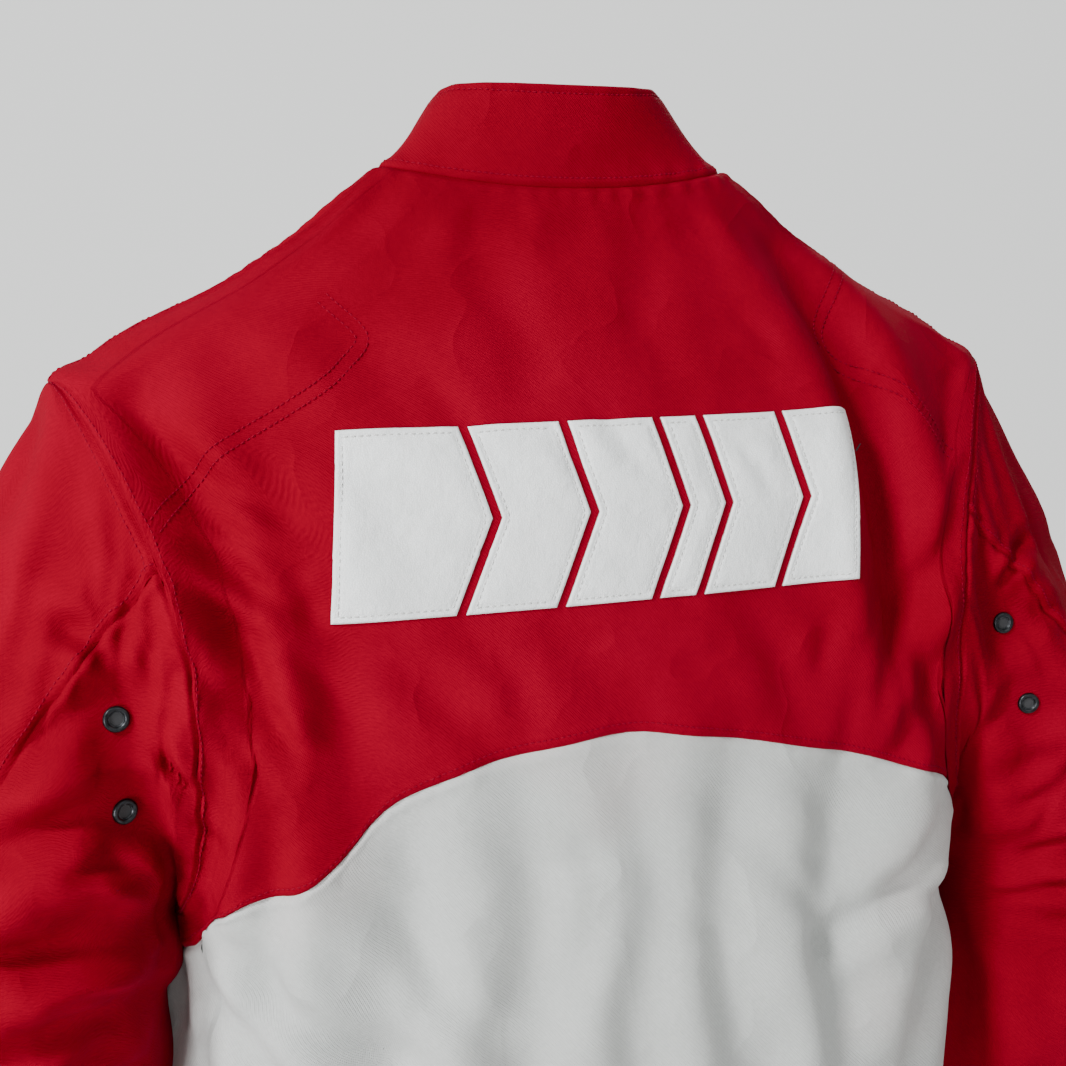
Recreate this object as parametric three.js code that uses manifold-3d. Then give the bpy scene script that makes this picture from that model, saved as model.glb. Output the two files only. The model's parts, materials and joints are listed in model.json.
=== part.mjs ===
// Motorcycle riding jacket, empty and hung up by its neck.
// Millimetres. +Z is up, the front faces -Y and the wearer's left is +X. The origin is at the middle of
// the neck, level with the neck ends of the two shoulder seams.
// The shell is sewn from panels of thick textile. Leather pieces are stitched to the back, foam pads lie
// between the shell and the lining, and the sleeves swing at the armholes and bend at the elbows.

import * as THREE from 'three';
import { mergeVertices } from 'three/addons/utils/BufferGeometryUtils.js';
import Module from 'manifold-3d';

const wasm = await Module();
wasm.setup();

// ---- Driving dimensions ------------------------------------------------------------------------------

const gap = 0.3;                    // clearance between pieces that touch
const seamGap = 0.6;                // between the edges of two sewn panels
const clothThickness = 1.6;         // outer textile with its seam allowances pressed flat
const collarThickness = 3.0;        // outer layer of the stand collar, with its stiffener
const liningThickness = 1.2;
const sleeveLiningDepth = 13.5;     // the same in a sleeve, where the pads follow tighter curves
const liningDepth = 12;             // outer face of the shell to outer face of the lining
const padThickness = 7;             // foam in the shoulders, the elbows and the back
const padEdgeThickness = 3;

const jacketLength = 660;           // neck to hem
const hemHalfWidth = 226;
const hemBackDepth = 108;
const underarmDrop = 375;
const underarmHalfWidth = 205;
const chestBackDepth = 106;
const shoulderDrop = 104;           // how far the tip of the shoulder lies below the neck
const shoulderHalfWidth = 264;
const neckHalfWidth = 97;
const neckBackDepth = 42;
const neckFrontDrop = 78;           // how far the neck seam dips at the throat
const neckBackDrop = 13;
const collarHeight = 43;
const collarTopHalfWidth = 60;
const frontDepth = 81.4;            // throat in front of the origin, where the zip line meets the neck
const frontLean = 0.0343;           // how far the straight zip line comes forward for each mm down

const sleeveLength = 315;           // underarm to wrist end of the cuff, straight down
const cuffHeight = 35;
const cuffHalfWidth = 40;
const cuffHalfDepth = 40;
const elbowHalfWidth = 71;
const elbowHalfDepth = 64;
const elbowDrop = 501;              // middle of the elbow below the neck

const zipToothHalfWidth = 2.8;
const zipToothDepth = 2.5;
const zipTapeThickness = 1.0;
const zipChannelHalfWidth = 6;      // from the middle of the zip to the edge of each front panel
const sliderLength = 15;
const sliderHalfWidth = 4.6;
const sliderWall = 1.2;
const pullLength = 32;
const pullWidth = 7;
const pullThickness = 1.4;
const pocketZipLength = 150;
const cuffZipLength = 95;
const smallZipWidth = 8;
const smallZipThickness = 1.6;
const smallSliderLength = 11;

const eyeletBoreRadius = 2.6;
const eyeletBarrelRadius = 3.7;
const eyeletFlangeRadius = 5.4;
const eyeletFlangeThickness = 0.8;

const badgeHeight = 92;
const badgeGap = 5;
const badgeThickness = 1.5;
const badgeCentreDrop = 178;
const badgeSlant = 9;
const badgeLift = 0.5;              // clearance under a badge piece, which lies on a curved back

// ---- Small helpers -----------------------------------------------------------------------------------

const mix = (a, b, t) => a + (b - a) * t;
const clamp = (x, low, high) => Math.min(high, Math.max(low, x));
const smooth = (t) => {
  const x = clamp(t, 0, 1);
  return x * x * (3 - 2 * x);
};
const degrees = Math.PI / 180;
const range = (count) => Array.from({ length: count + 1 }, (unused, k) => k / count);

function bisect(low, high, isBelow) {
  for (let k = 0; k < 40; k += 1) {
    const middle = (low + high) / 2;
    if (isBelow(middle)) low = middle;
    else high = middle;
  }
  return (low + high) / 2;
}

// A smooth curve through a list of equal-length rows of numbers, one row for each whole step.
function through(rows, step) {
  const last = rows.length - 1;
  const k = clamp(Math.floor(step), 0, last - 1);
  const t = step - k;
  return rows[k].map((value, n) => {
    const next = rows[k + 1][n];
    const before = k > 0 ? rows[k - 1][n] : 2 * value - next;
    const after = k + 2 <= last ? rows[k + 2][n] : 2 * next - value;
    const curve = (3 * value - before - 3 * next + after) * t ** 3;
    const bend = (2 * before - 5 * value + 4 * next - after) * t ** 2;
    return 0.5 * (2 * value + (next - before) * t + bend + curve);
  });
}

// A smooth curve through [place, value] pairs, read at any place between the first and the last.
function alongPairs(pairs, place) {
  let k = 0;
  while (k < pairs.length - 2 && place > pairs[k + 1][0]) k += 1;
  const t = (place - pairs[k][0]) / (pairs[k + 1][0] - pairs[k][0]);
  return through(pairs.map((pair) => [pair[1]]), k + clamp(t, 0, 1))[0];
}

// ---- Torso surface -----------------------------------------------------------------------------------
// Closed rings stacked from the hem (level 0) to the top of the collar (level 8). A ring is a rounded
// ellipse whose ends lie on the side and shoulder seams. Angle 0 is the left seam, +90 degrees the middle
// of the back and -90 degrees the middle of the front, where every ring meets the straight zip line.

const hemLevel = 0;
const underarmLevel = 3;
const shoulderLevel = 5;
const neckLevel = 7;
const collarLevel = 8;

const frontY = (z) => -(frontDepth - frontLean * z);

function ring(sideZ, backZ, frontZ, halfWidth, backY, ridgeY, power) {
  return [sideZ, backZ, frontZ, halfWidth, backY, frontY(frontZ), ridgeY, power];
}

const belowArm = (share) => mix(-jacketLength, -underarmDrop, share);
const betweenNeckAndTip = 0.46;
const torsoRings = [
  ring(-jacketLength, -jacketLength, -jacketLength, hemHalfWidth, hemBackDepth, 0, 2.3),
  ring(belowArm(0.35), belowArm(0.35), belowArm(0.35), hemHalfWidth, hemBackDepth + 2, 0, 2.3),
  ring(belowArm(0.67), belowArm(0.67), belowArm(0.67), mix(hemHalfWidth, underarmHalfWidth, 0.2),
    hemBackDepth + 2, 0, 2.3),
  ring(-underarmDrop, -underarmDrop + 3, -underarmDrop, underarmHalfWidth, chestBackDepth, 0, 2.3),
  ring(-mix(underarmDrop, shoulderDrop, 0.5), -mix(underarmDrop, shoulderDrop, 0.51),
    -mix(underarmDrop, shoulderDrop, 0.42), shoulderHalfWidth + 26, chestBackDepth - 5, 4, 2.2),
  ring(-shoulderDrop, -shoulderDrop - 36, -shoulderDrop - 81, shoulderHalfWidth, chestBackDepth - 18, 10, 2.1),
  ring(-shoulderDrop * betweenNeckAndTip, -mix(neckBackDrop, shoulderDrop + 36, 0.39),
    -mix(neckFrontDrop, shoulderDrop + 81, 0.44), mix(neckHalfWidth, shoulderHalfWidth, 0.475),
    mix(neckBackDepth, chestBackDepth - 18, 0.48), 14, 2.05),
  ring(0, -neckBackDrop, -neckFrontDrop, neckHalfWidth, neckBackDepth, 17, 2.2),
  ring(collarHeight - 8, collarHeight - neckBackDrop, collarHeight - neckFrontDrop - 1, collarTopHalfWidth,
    neckBackDepth + 1, 5, 2.6),
];

function torso(angle, level) {
  const [sideZ, backZ, frontZ, halfWidth, backY, middleY, ridgeY, power] = through(torsoRings, level);
  const across = Math.cos(angle);
  const deep = Math.sin(angle);
  const x = halfWidth * Math.sign(across) * Math.abs(across) ** (2 / power);
  const reach = (deep >= 0 ? backY : middleY) - ridgeY;
  const y = ridgeY + reach * Math.abs(deep) ** (2 / power);
  const z = mix(sideZ, deep >= 0 ? backZ : frontZ, deep * deep);
  return new THREE.Vector3(x, y, z);
}

function torsoNormal(angle, level) {
  const step = 0.01;
  const around = torso(angle + step, level).sub(torso(angle - step, level));
  const low = Math.max(level - step, hemLevel);
  const high = Math.min(level + step, collarLevel);
  const up = torso(angle, high).sub(torso(angle, low));
  return around.cross(up).normalize();
}

const levelAtHeight = (angle, z) => bisect(hemLevel, collarLevel, (level) => torso(angle, level).z < z);

// The point of the back surface that lies at a given x and z.
function backPlace(x, z) {
  let angle = Math.PI / 2;
  let level = 4;
  for (let k = 0; k < 12; k += 1) {
    const width = through(torsoRings, level);
    const share = Math.abs(x / width[3]) ** (width[7] / 2);
    angle = Math.acos(Math.sign(x) * Math.min(share, 1));
    level = levelAtHeight(angle, z);
  }
  return [angle, level];
}

// ---- Armhole -----------------------------------------------------------------------------------------
// Each armhole lies in one plane, from the tip of the shoulder to the underarm, so that the sleeve swings
// clear of the body. The left one is described here, and the right one is its mirror image.

const armholeTop = torso(0, shoulderLevel);
const armholeBottom = torso(0, underarmLevel);
const armholeCentre = armholeTop.clone().add(armholeBottom).multiplyScalar(0.5);
const armholeUp = new THREE.Vector3(armholeTop.x - armholeBottom.x, 0, armholeTop.z - armholeBottom.z).normalize();
const armholeBack = new THREE.Vector3(0, 1, 0);
const armholeOut = new THREE.Vector3(armholeUp.z, 0, -armholeUp.x);
const beyondArmhole = (point) => point.clone().sub(armholeCentre).dot(armholeOut);

// Angle at which a ring between the underarm and the shoulder crosses the plane of the armhole.
function armholeAngle(level, sign) {
  if (level <= underarmLevel || level >= shoulderLevel) return 0;
  return bisect(0, Math.PI / 2, (angle) => beyondArmhole(torso(sign * angle, level)) > 0);
}

function turnInArmhole(point) {
  const from = point.clone().sub(armholeCentre);
  return Math.atan2(from.dot(armholeBack), from.dot(armholeUp));
}

const armholeRim = [];
for (const sign of [1, -1]) {
  for (const share of range(60)) {
    const level = mix(underarmLevel, shoulderLevel, share);
    const point = torso(sign * armholeAngle(level, sign), level);
    const reach = point.clone().sub(armholeCentre);
    reach.addScaledVector(armholeOut, -reach.dot(armholeOut));
    armholeRim.push([turnInArmhole(point), reach.length()]);
  }
}
armholeRim.sort((a, b) => a[0] - b[0]);

// Distance from the centre of the armhole to its rim, in the direction of a turn from the top to the back.
function armholeRadius(turn) {
  const wrapped = Math.atan2(Math.sin(turn), Math.cos(turn));
  const after = armholeRim.findIndex((entry) => entry[0] > wrapped);
  const b = after < 0 ? armholeRim[0] : armholeRim[after];
  const a = after <= 0 ? armholeRim[armholeRim.length - 1] : armholeRim[after - 1];
  const span = (b[0] - a[0] + 2 * Math.PI) % (2 * Math.PI);
  const share = span > 1e-9 ? ((wrapped - a[0] + 2 * Math.PI) % (2 * Math.PI)) / span : 0;
  return mix(a[1], b[1], clamp(share, 0, 1));
}

function armholePoint(turn, depth) {
  const reach = armholeRadius(turn) - depth;
  return armholeCentre.clone()
    .addScaledVector(armholeUp, Math.cos(turn) * reach)
    .addScaledVector(armholeBack, Math.sin(turn) * reach);
}

// ---- Sleeve surface ----------------------------------------------------------------------------------
// Cross-sections from the armhole (step 0) past the elbow (step 5) to the wrist (step 9). Each is centred
// on the arm line and spans from the underside of the sleeve to its outside, and from front to back.

const elbowStep = 5;
const cuffStep = 8;
const wristStep = 9;
const wristZ = -underarmDrop - sleeveLength;
const elbowX = shoulderHalfWidth + 44;
const wristX = shoulderHalfWidth + 54;

// Each row: outside x and z, underside x and z, half depth, y of the centre, lean of the section.
const upperShare = (share) => mix(-underarmDrop - 5, -elbowDrop, share);
const lowerShare = (share) => mix(-elbowDrop, wristZ + cuffHeight, share);
const sleeveRows = [
  [armholeTop.x, armholeTop.z, armholeBottom.x, armholeBottom.z, 76, 0, 0],
  [armholeTop.x + 34, armholeTop.z - 58, armholeBottom.x + 5, armholeBottom.z - 13, 76, 0, 0],
  [armholeTop.x + 81, armholeTop.z - 158, armholeBottom.x + 14, upperShare(0.24), 75, 0, 0],
  [elbowX + elbowHalfWidth - 6, armholeTop.z - 241, elbowX - elbowHalfWidth - 9, upperShare(0.48), 71, 1, 0],
  [elbowX + elbowHalfWidth, upperShare(0.33), elbowX - elbowHalfWidth - 4, upperShare(0.76), 68, 2, 0],
  [elbowX + elbowHalfWidth, 11 - elbowDrop, elbowX - elbowHalfWidth, -11 - elbowDrop, elbowHalfDepth, 2, 0],
  [elbowX + elbowHalfWidth - 4, lowerShare(0.36), elbowX - elbowHalfWidth + 10, lowerShare(0.44), 58, -6, 5],
  [elbowX + elbowHalfWidth - 11, lowerShare(0.74), elbowX - elbowHalfWidth + 24, lowerShare(0.82), 50, -19, 11],
  [wristX + cuffHalfWidth, wristZ + cuffHeight + 6, wristX - cuffHalfWidth - 9, wristZ + cuffHeight - 6,
    cuffHalfDepth + 3, -28, 14],
  [wristX + cuffHalfWidth - 3, wristZ + 6, wristX - cuffHalfWidth + 1, wristZ - 6, cuffHalfDepth, -38, 15],
];

// The centre and the two directions of one cross-section.
function sleeveSection(step) {
  const [outX, outZ, inX, inZ, halfDepth, centreY, lean] = through(sleeveRows, step);
  const outward = new THREE.Vector3(outX - inX, 0, outZ - inZ);
  const halfWidth = outward.length() / 2;
  outward.normalize();
  const backward = new THREE.Vector3(0, Math.cos(lean * degrees), Math.sin(lean * degrees));
  const centre = new THREE.Vector3((outX + inX) / 2, centreY, (outZ + inZ) / 2);
  return { centre, outward, backward, halfWidth, halfDepth };
}

function sleeve(turn, step, depth) {
  const section = sleeveSection(step);
  const power = 2.15;
  const flat = Math.abs(Math.cos(turn) / section.halfWidth) ** power;
  const deep = Math.abs(Math.sin(turn) / section.halfDepth) ** power;
  const oval = (flat + deep) ** (-1 / power);
  const reach = mix(armholeRadius(turn), oval, smooth(step / 2.2)) - depth;
  const centre = section.centre.clone();
  const startY = mix(armholeCentre.y, section.centre.y, smooth(step / 2.2));
  centre.y = step < 2.2 ? startY : centre.y;
  return centre
    .addScaledVector(section.outward, Math.cos(turn) * reach)
    .addScaledVector(section.backward, Math.sin(turn) * reach);
}

// ---- Closed solids from grids ------------------------------------------------------------------------

function solidFromTriangles(points, faces) {
  let volume = 0;
  for (const [a, b, c] of faces) {
    volume += points[a].dot(points[b].clone().cross(points[c]));
  }
  const ordered = volume < 0 ? faces.map(([a, b, c]) => [a, c, b]) : faces;
  const geometry = new THREE.BufferGeometry();
  geometry.setAttribute('position', new THREE.Float32BufferAttribute(points.flatMap((p) => p.toArray()), 3));
  geometry.setIndex(ordered.flat());
  return geometry;
}

// A closed shell between two grids of points of the same size. A grid that wraps joins its last column to
// its first one.
function shellBetween(outer, inner, wraps = false) {
  const rows = outer.length;
  const columns = outer[0].length;
  const points = [...outer.flat(), ...inner.flat()];
  const at = (layer, row, column) => (layer * rows + row) * columns + (column % columns);
  const faces = [];
  const quad = (a, b, c, d) => faces.push([a, b, c], [a, c, d]);
  const lastColumn = wraps ? columns : columns - 1;
  for (let row = 0; row < rows - 1; row += 1) {
    for (let column = 0; column < lastColumn; column += 1) {
      quad(at(0, row, column), at(0, row, column + 1), at(0, row + 1, column + 1), at(0, row + 1, column));
      quad(at(1, row, column), at(1, row + 1, column), at(1, row + 1, column + 1), at(1, row, column + 1));
    }
  }
  for (let column = 0; column < lastColumn; column += 1) {
    quad(at(0, 0, column + 1), at(0, 0, column), at(1, 0, column), at(1, 0, column + 1));
    const end = rows - 1;
    quad(at(0, end, column), at(0, end, column + 1), at(1, end, column + 1), at(1, end, column));
  }
  if (!wraps) {
    for (let row = 0; row < rows - 1; row += 1) {
      quad(at(0, row, 0), at(0, row + 1, 0), at(1, row + 1, 0), at(1, row, 0));
      const end = columns - 1;
      quad(at(0, row + 1, end), at(0, row, end), at(1, row, end), at(1, row + 1, end));
    }
  }
  return solidFromTriangles(points, faces);
}

// Draws the outermost points of a grid in from its edges, which leaves the seam gap between two panels.
function drawIn(grid, amount, sides) {
  const rows = grid.length;
  const columns = grid[0].length;
  const pulled = grid.map((row) => row.map((point) => point.clone()));
  const pull = (row, column, towardRow, towardColumn) => {
    const way = grid[towardRow][towardColumn].clone().sub(grid[row][column]).normalize();
    pulled[row][column].addScaledVector(way, amount);
  };
  for (let column = 0; column < columns; column += 1) {
    if (sides.includes('bottom')) pull(0, column, 1, column);
    if (sides.includes('top')) pull(rows - 1, column, rows - 2, column);
  }
  for (let row = 0; row < rows; row += 1) {
    if (sides.includes('start')) pull(row, 0, row, 1);
    if (sides.includes('end')) pull(row, columns - 1, row, columns - 2);
  }
  return pulled;
}

const everySide = ['bottom', 'top', 'start', 'end'];

// ---- Torso panels ------------------------------------------------------------------------------------
// A torso panel is a grid over the back or over one front half. share runs along a row from the wearer's
// left seam to the right one on the back, and from the side seam to the zip on the front.

const zipEdgeAngle = (level, halfWidth) => {
  const [, , , width, , , , power] = through(torsoRings, level);
  return Math.acos((halfWidth / width) ** (power / 2));
};

function torsoPlace(area, share, level) {
  const sign = area === 'back' ? 1 : -1;
  const edge = armholeAngle(level, sign);
  if (area === 'back') return mix(edge, Math.PI - edge, share);
  const middle = zipEdgeAngle(level, zipChannelHalfWidth);
  const left = -mix(edge, middle, share);
  return area === 'left' ? left : -Math.PI - left;
}

// One point of a torso panel at a depth below the outer face. On the rim of an armhole the depth is taken
// in the plane of the armhole, so that the panel ends flat against the sleeve.
function torsoPoint(area, share, level, depth) {
  const angle = torsoPlace(area, share, level);
  const onRim = level > underarmLevel && level < shoulderLevel;
  const leftRim = onRim && share === 0 && area !== 'right';
  const rightRim = onRim && ((share === 1 && area === 'back') || (share === 0 && area === 'right'));
  if (leftRim || rightRim) {
    const mirror = rightRim ? -1 : 1;
    const surface = torso(angle, level);
    surface.x *= mirror;
    const point = armholePoint(turnInArmhole(surface), depth).addScaledVector(armholeOut, -gap / 2);
    point.x *= mirror;
    return point;
  }
  return torso(angle, level).addScaledVector(torsoNormal(angle, level), -depth);
}

function torsoPanel(area, columns, levelRows, outerDepth, innerDepth) {
  const grid = (depthAt) => levelRows.map((levelAt, row) => range(columns).map((share, column) => {
    const level = levelAt(share);
    return torsoPoint(area, share, level, depthAt(row, column, share, level));
  }));
  const outer = drawIn(grid(outerDepth), seamGap / 2, everySide);
  const inner = drawIn(grid(innerDepth), seamGap / 2, everySide);
  return shellBetween(outer, inner);
}

const panelColumns = 20;            // across the back; the lining has half as many, at the same places
const constantDepth = (depth) => () => depth;

// Height of the seam between the upper and the lower panels, by the angle from the side seam in degrees.
const backSeamDrops = [[0, 390], [30, 359], [46, 349], [66, 311], [90, 291]];
const frontSeamDrops = [[0, 390], [45, 352], [90, 335]];

function seamLevel(area, share) {
  const drops = area === 'back' ? backSeamDrops : frontSeamDrops;
  let level = underarmLevel;
  for (let k = 0; k < 6; k += 1) {
    const angle = torsoPlace(area, share, level);
    const fromSide = Math.asin(Math.abs(Math.sin(angle))) / degrees;
    level = levelAtHeight(angle, -alongPairs(drops, fromSide));
  }
  return level;
}

const fixedRow = (level) => () => level;

// Rows of an upper panel: the seam, then rows that climb to the neck and touch the underarm and the tip.
function upperRows(area) {
  const steps = [0.05, 0.14, 0.24, 0.35, 0.46];
  const edgeStart = seamLevel(area, 0);
  const underarmShare = (underarmLevel - edgeStart) / (shoulderLevel - edgeStart);
  const rise = [0, underarmShare, ...steps.map((step) => mix(underarmShare, 1, step / 0.55))];
  const rows = rise.map((share) => (across) => mix(seamLevel(area, across), shoulderLevel, share));
  for (const level of [5, 5.35, 5.75, 6.2, 6.6, 7]) rows.push(fixedRow(level));
  return rows;
}

function lowerRows(area) {
  return range(6).map((share) => (across) => mix(hemLevel, seamLevel(area, across), share));
}

const shellDepth = constantDepth(0);
const shellInside = constantDepth(clothThickness);

// The lining lies close under the shell along its edges and hangs free of it elsewhere.
const liningRest = clothThickness + gap;
const liningSideRest = clothThickness + 3;   // along the side seams and armholes, where the shell is hollow
function liningRows() {
  return [0.02, 1, 2, 2.55, 2.8, 3, 3.18, 3.51, 3.87, 4.27, 5, 5.5, 6.1, 6.98].map(fixedRow);
}

function liningDepthAt(rowCount, columnCount, extra) {
  return (row, column) => {
    const atSide = column === 0 || column === columnCount;
    const atEnd = row === 0 || row === rowCount - 1;
    const inner = atSide ? liningSideRest : liningDepth;
    return (atEnd ? liningRest : inner) + extra;
  };
}

function torsoLining(area, columns) {
  const rows = liningRows();
  const outside = liningDepthAt(rows.length, columns, 0);
  const inside = liningDepthAt(rows.length, columns, liningThickness);
  return torsoPanel(area, columns, rows, outside, inside);
}

// ---- Collar ------------------------------------------------------------------------------------------

function collarLayer(outerDepth, thickness, columns) {
  const rows = [7, 7.35, 7.7, 8];
  const lift = 0.02;
  const layer = (depth) => rows.map((level, row) => range(columns).map((share) => {
    const raised = row === 0 ? level + lift : level;
    const edge = zipEdgeAngle(raised, zipChannelHalfWidth);
    const angle = mix(-edge, Math.PI + edge, share);
    return torso(angle, raised).addScaledVector(torsoNormal(angle, raised), -depth);
  }));
  return shellBetween(layer(outerDepth), layer(outerDepth + thickness));
}

// ---- Sleeve panels -----------------------------------------------------------------------------------

const frontSeamTurn = -112 * degrees;
const backSeamTurn = (step) => mix(64, 98, smooth(step / 2.4)) * degrees;
const outerTurns = (share, step) => mix(frontSeamTurn, backSeamTurn(step), share);
const underTurns = (share, step) => mix(backSeamTurn(step), frontSeamTurn + 2 * Math.PI, share);

// A sleeve panel, whose end rows lie flat in the plane of the armhole, of the elbow or of the cuff.
function sleevePanel(turns, columns, steps, outerDepth, innerDepth) {
  const rowsAt = (depthAt) => steps.map((step, row) => range(columns).map((share, column) => {
    const depth = depthAt(row, column);
    return sleeve(turns(share, step), step, depth);
  }));
  const outer = drawIn(rowsAt(outerDepth), seamGap / 2, everySide);
  const inner = drawIn(rowsAt(innerDepth), seamGap / 2, everySide);
  return shellBetween(outer, inner);
}

// A whole ring of turns, at every so many columns of the outer and the under panel.
const outerColumns = 14;
const underColumns = 8;
function ringTurns(step, every) {
  const outer = range(outerColumns / every).slice(0, -1).map((share) => outerTurns(share, step));
  const under = range(underColumns / every).slice(0, -1).map((share) => underTurns(share, step));
  return [...outer, ...under];
}

function sleeveTube(every, steps, outerDepth, innerDepth) {
  const rowsAt = (depthAt) => {
    const rows = steps.map((step, row) => ringTurns(step, every).map((turn) => {
      return sleeve(turn, step, depthAt(row));
    }));
    return drawIn(rows, gap / 2, ['bottom', 'top']);
  };
  return shellBetween(rowsAt(outerDepth), rowsAt(innerDepth), true);
}

const upperSteps = [0, 0.3, 0.6, 0.95, 1.35, 1.8, 2.4, 3.2, 4.1, 5];
const forearmSteps = [5, 5.6, 5.95, 6.3, 6.7, 7.1, 8];
const sleeveLiningRest = clothThickness + 0.8;
const seatedEnds = (extra, last) => (row) => {
  return (row === 0 || row === last ? sleeveLiningRest : sleeveLiningDepth) + extra;
};

function sleeveLining(steps) {
  const last = steps.length - 1;
  return sleeveTube(2, steps, seatedEnds(0, last), seatedEnds(liningThickness, last));
}

// ---- Booleans ----------------------------------------------------------------------------------------

function toManifold(geometry) {
  const bare = geometry.clone();
  bare.deleteAttribute('normal');
  bare.deleteAttribute('uv');
  const merged = mergeVertices(bare, 1e-4);
  const mesh = new wasm.Mesh({
    numProp: 3,
    vertProperties: new Float32Array(merged.attributes.position.array),
    triVerts: new Uint32Array(merged.index.array),
  });
  return new wasm.Manifold(mesh);
}

function fromManifold(solid) {
  const mesh = solid.getMesh();
  const geometry = new THREE.BufferGeometry();
  geometry.setAttribute('position', new THREE.Float32BufferAttribute(Array.from(mesh.vertProperties), 3));
  geometry.setIndex(Array.from(mesh.triVerts));
  return geometry;
}

const box = (width, depth, height, x, y, z) => {
  return new THREE.BoxGeometry(width, depth, height).translate(x, y, z);
};

function joined(...geometries) {
  return fromManifold(geometries.map(toManifold).reduce((whole, next) => whole.add(next)));
}

function mirrored(geometry) {
  const copy = geometry.clone().scale(-1, 1, 1);
  if (!copy.index) copy.setIndex(range(copy.attributes.position.count - 1).map((unused, k) => k));
  const order = Array.from(copy.index.array);
  for (let k = 0; k < order.length; k += 3) [order[k + 1], order[k + 2]] = [order[k + 2], order[k + 1]];
  copy.setIndex(order);
  return copy;
}

// ---- Eyelets -----------------------------------------------------------------------------------------
// A pair of vent eyelets in the underside panel of each sleeve, close behind the armhole.

const eyeletPlaces = [
  { turn: 103 * degrees, step: 0.6 },
  { turn: 128 * degrees, step: 0.85 },
];
const eyeletHoleRadius = eyeletBarrelRadius + gap;
const eyeletSeat = 0.9;             // least clearance under each flange, where the sleeve curves away
const eyeletSeatStep = 0.1;
const eyeletTouch = 0.001;          // a smaller shared volume, in cubic millimetres, is rounding

function eyeletFrame(place) {
  const small = 0.02;
  const point = sleeve(place.turn, place.step, 0);
  const around = sleeve(place.turn + small, place.step, 0).sub(point);
  const down = sleeve(place.turn, place.step + small, 0).sub(point);
  const normal = around.cross(down).normalize();
  if (normal.dot(point.clone().sub(sleeveSection(place.step).centre)) < 0) normal.negate();
  const spin = new THREE.Quaternion().setFromUnitVectors(new THREE.Vector3(0, 1, 0), normal);
  return { point, spin };
}

function eyelet(place, seat) {
  const { point, spin } = eyeletFrame(place);
  const top = seat;
  const bottom = -clothThickness - seat;
  const profile = [
    [eyeletBoreRadius, bottom - eyeletFlangeThickness],
    [eyeletFlangeRadius - 0.6, bottom - eyeletFlangeThickness],
    [eyeletFlangeRadius - 0.6, bottom],
    [eyeletBarrelRadius, bottom],
    [eyeletBarrelRadius, top],
    [eyeletFlangeRadius, top],
    [eyeletFlangeRadius, top + eyeletFlangeThickness * 0.6],
    [eyeletFlangeRadius - 0.9, top + eyeletFlangeThickness],
    [eyeletBoreRadius, top + eyeletFlangeThickness * 0.8],
    [eyeletBoreRadius, bottom - eyeletFlangeThickness],
  ].map(([radius, height]) => new THREE.Vector2(radius, height));
  const geometry = new THREE.LatheGeometry(profile, 14);
  return geometry.applyQuaternion(spin).translate(point.x, point.y, point.z);
}

// Each flange lies as close to the panel as it can, and further off where the panel bends more.
function seatedEyelet(place, panel) {
  let seat = eyeletSeat;
  while (toManifold(eyelet(place, seat)).intersect(toManifold(panel)).volume() > eyeletTouch) seat += eyeletSeatStep;
  return eyelet(place, seat);
}

function withEyeletHoles(geometry) {
  let solid = toManifold(geometry);
  for (const place of eyeletPlaces) {
    const { point, spin } = eyeletFrame(place);
    const drill = new THREE.CylinderGeometry(eyeletHoleRadius, eyeletHoleRadius, 12, 14);
    drill.applyQuaternion(spin).translate(point.x, point.y, point.z);
    solid = solid.subtract(toManifold(drill));
  }
  return fromManifold(solid);
}

// ---- Pads --------------------------------------------------------------------------------------------
// A foam pad lies a little below the shell and thins towards its edge. The sleeve pads share the rows and
// columns of the panel above them, so that they stay parallel to it.

const backPadClearance = 1.0;       // between the back pad and the lining that holds it
const backPadSeat = liningDepth - clothThickness - padThickness - backPadClearance;
const sleevePadSeat = 0.7;

function padOver(surface, acrossPlaces, downPlaces, seat) {
  const top = clothThickness + seat;
  const layer = (isInside) => downPlaces.map((down, row) => acrossPlaces.map((across, column) => {
    const onEdge = row === 0 || row === downPlaces.length - 1 || column === 0
      || column === acrossPlaces.length - 1;
    const thickness = onEdge ? padEdgeThickness : padThickness;
    return surface(across, down, isInside ? top + thickness : top);
  }));
  return shellBetween(layer(false), layer(true));
}

function sleevePad(firstColumn, lastColumn, steps) {
  const shares = range(outerColumns).slice(firstColumn, lastColumn + 1);
  return padOver((share, step, depth) => sleeve(outerTurns(share, step), step, depth), shares, steps,
    sleevePadSeat);
}

function backPad() {
  const angles = range(8).map((share) => mix(64, 116, share) * degrees);
  const levels = range(12).map((share) => mix(5.4, 2.1, share));
  return padOver((angle, level, depth) => {
    return torso(angle, level).addScaledVector(torsoNormal(angle, level), -depth);
  }, angles, levels, backPadSeat);
}

// ---- Badge pieces ------------------------------------------------------------------------------------
// Six leather pieces in a row across the back: plain slanted bars and arrow-shaped bars.

const badgePoint = 17;
const badgePieces = [
  { width: 60, startPoint: 0, endPoint: badgePoint },
  { width: 46, startPoint: badgePoint, endPoint: badgePoint },
  { width: 46, startPoint: badgePoint, endPoint: badgePoint },
  { width: 20, startPoint: badgePoint, endPoint: badgePoint },
  { width: 42, startPoint: badgePoint, endPoint: badgePoint },
  { width: 44, startPoint: badgePoint, endPoint: 0 },
];
const badgeRowWidth = badgePieces.reduce((sum, piece) => sum + piece.width + badgeGap, -badgeGap);

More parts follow.
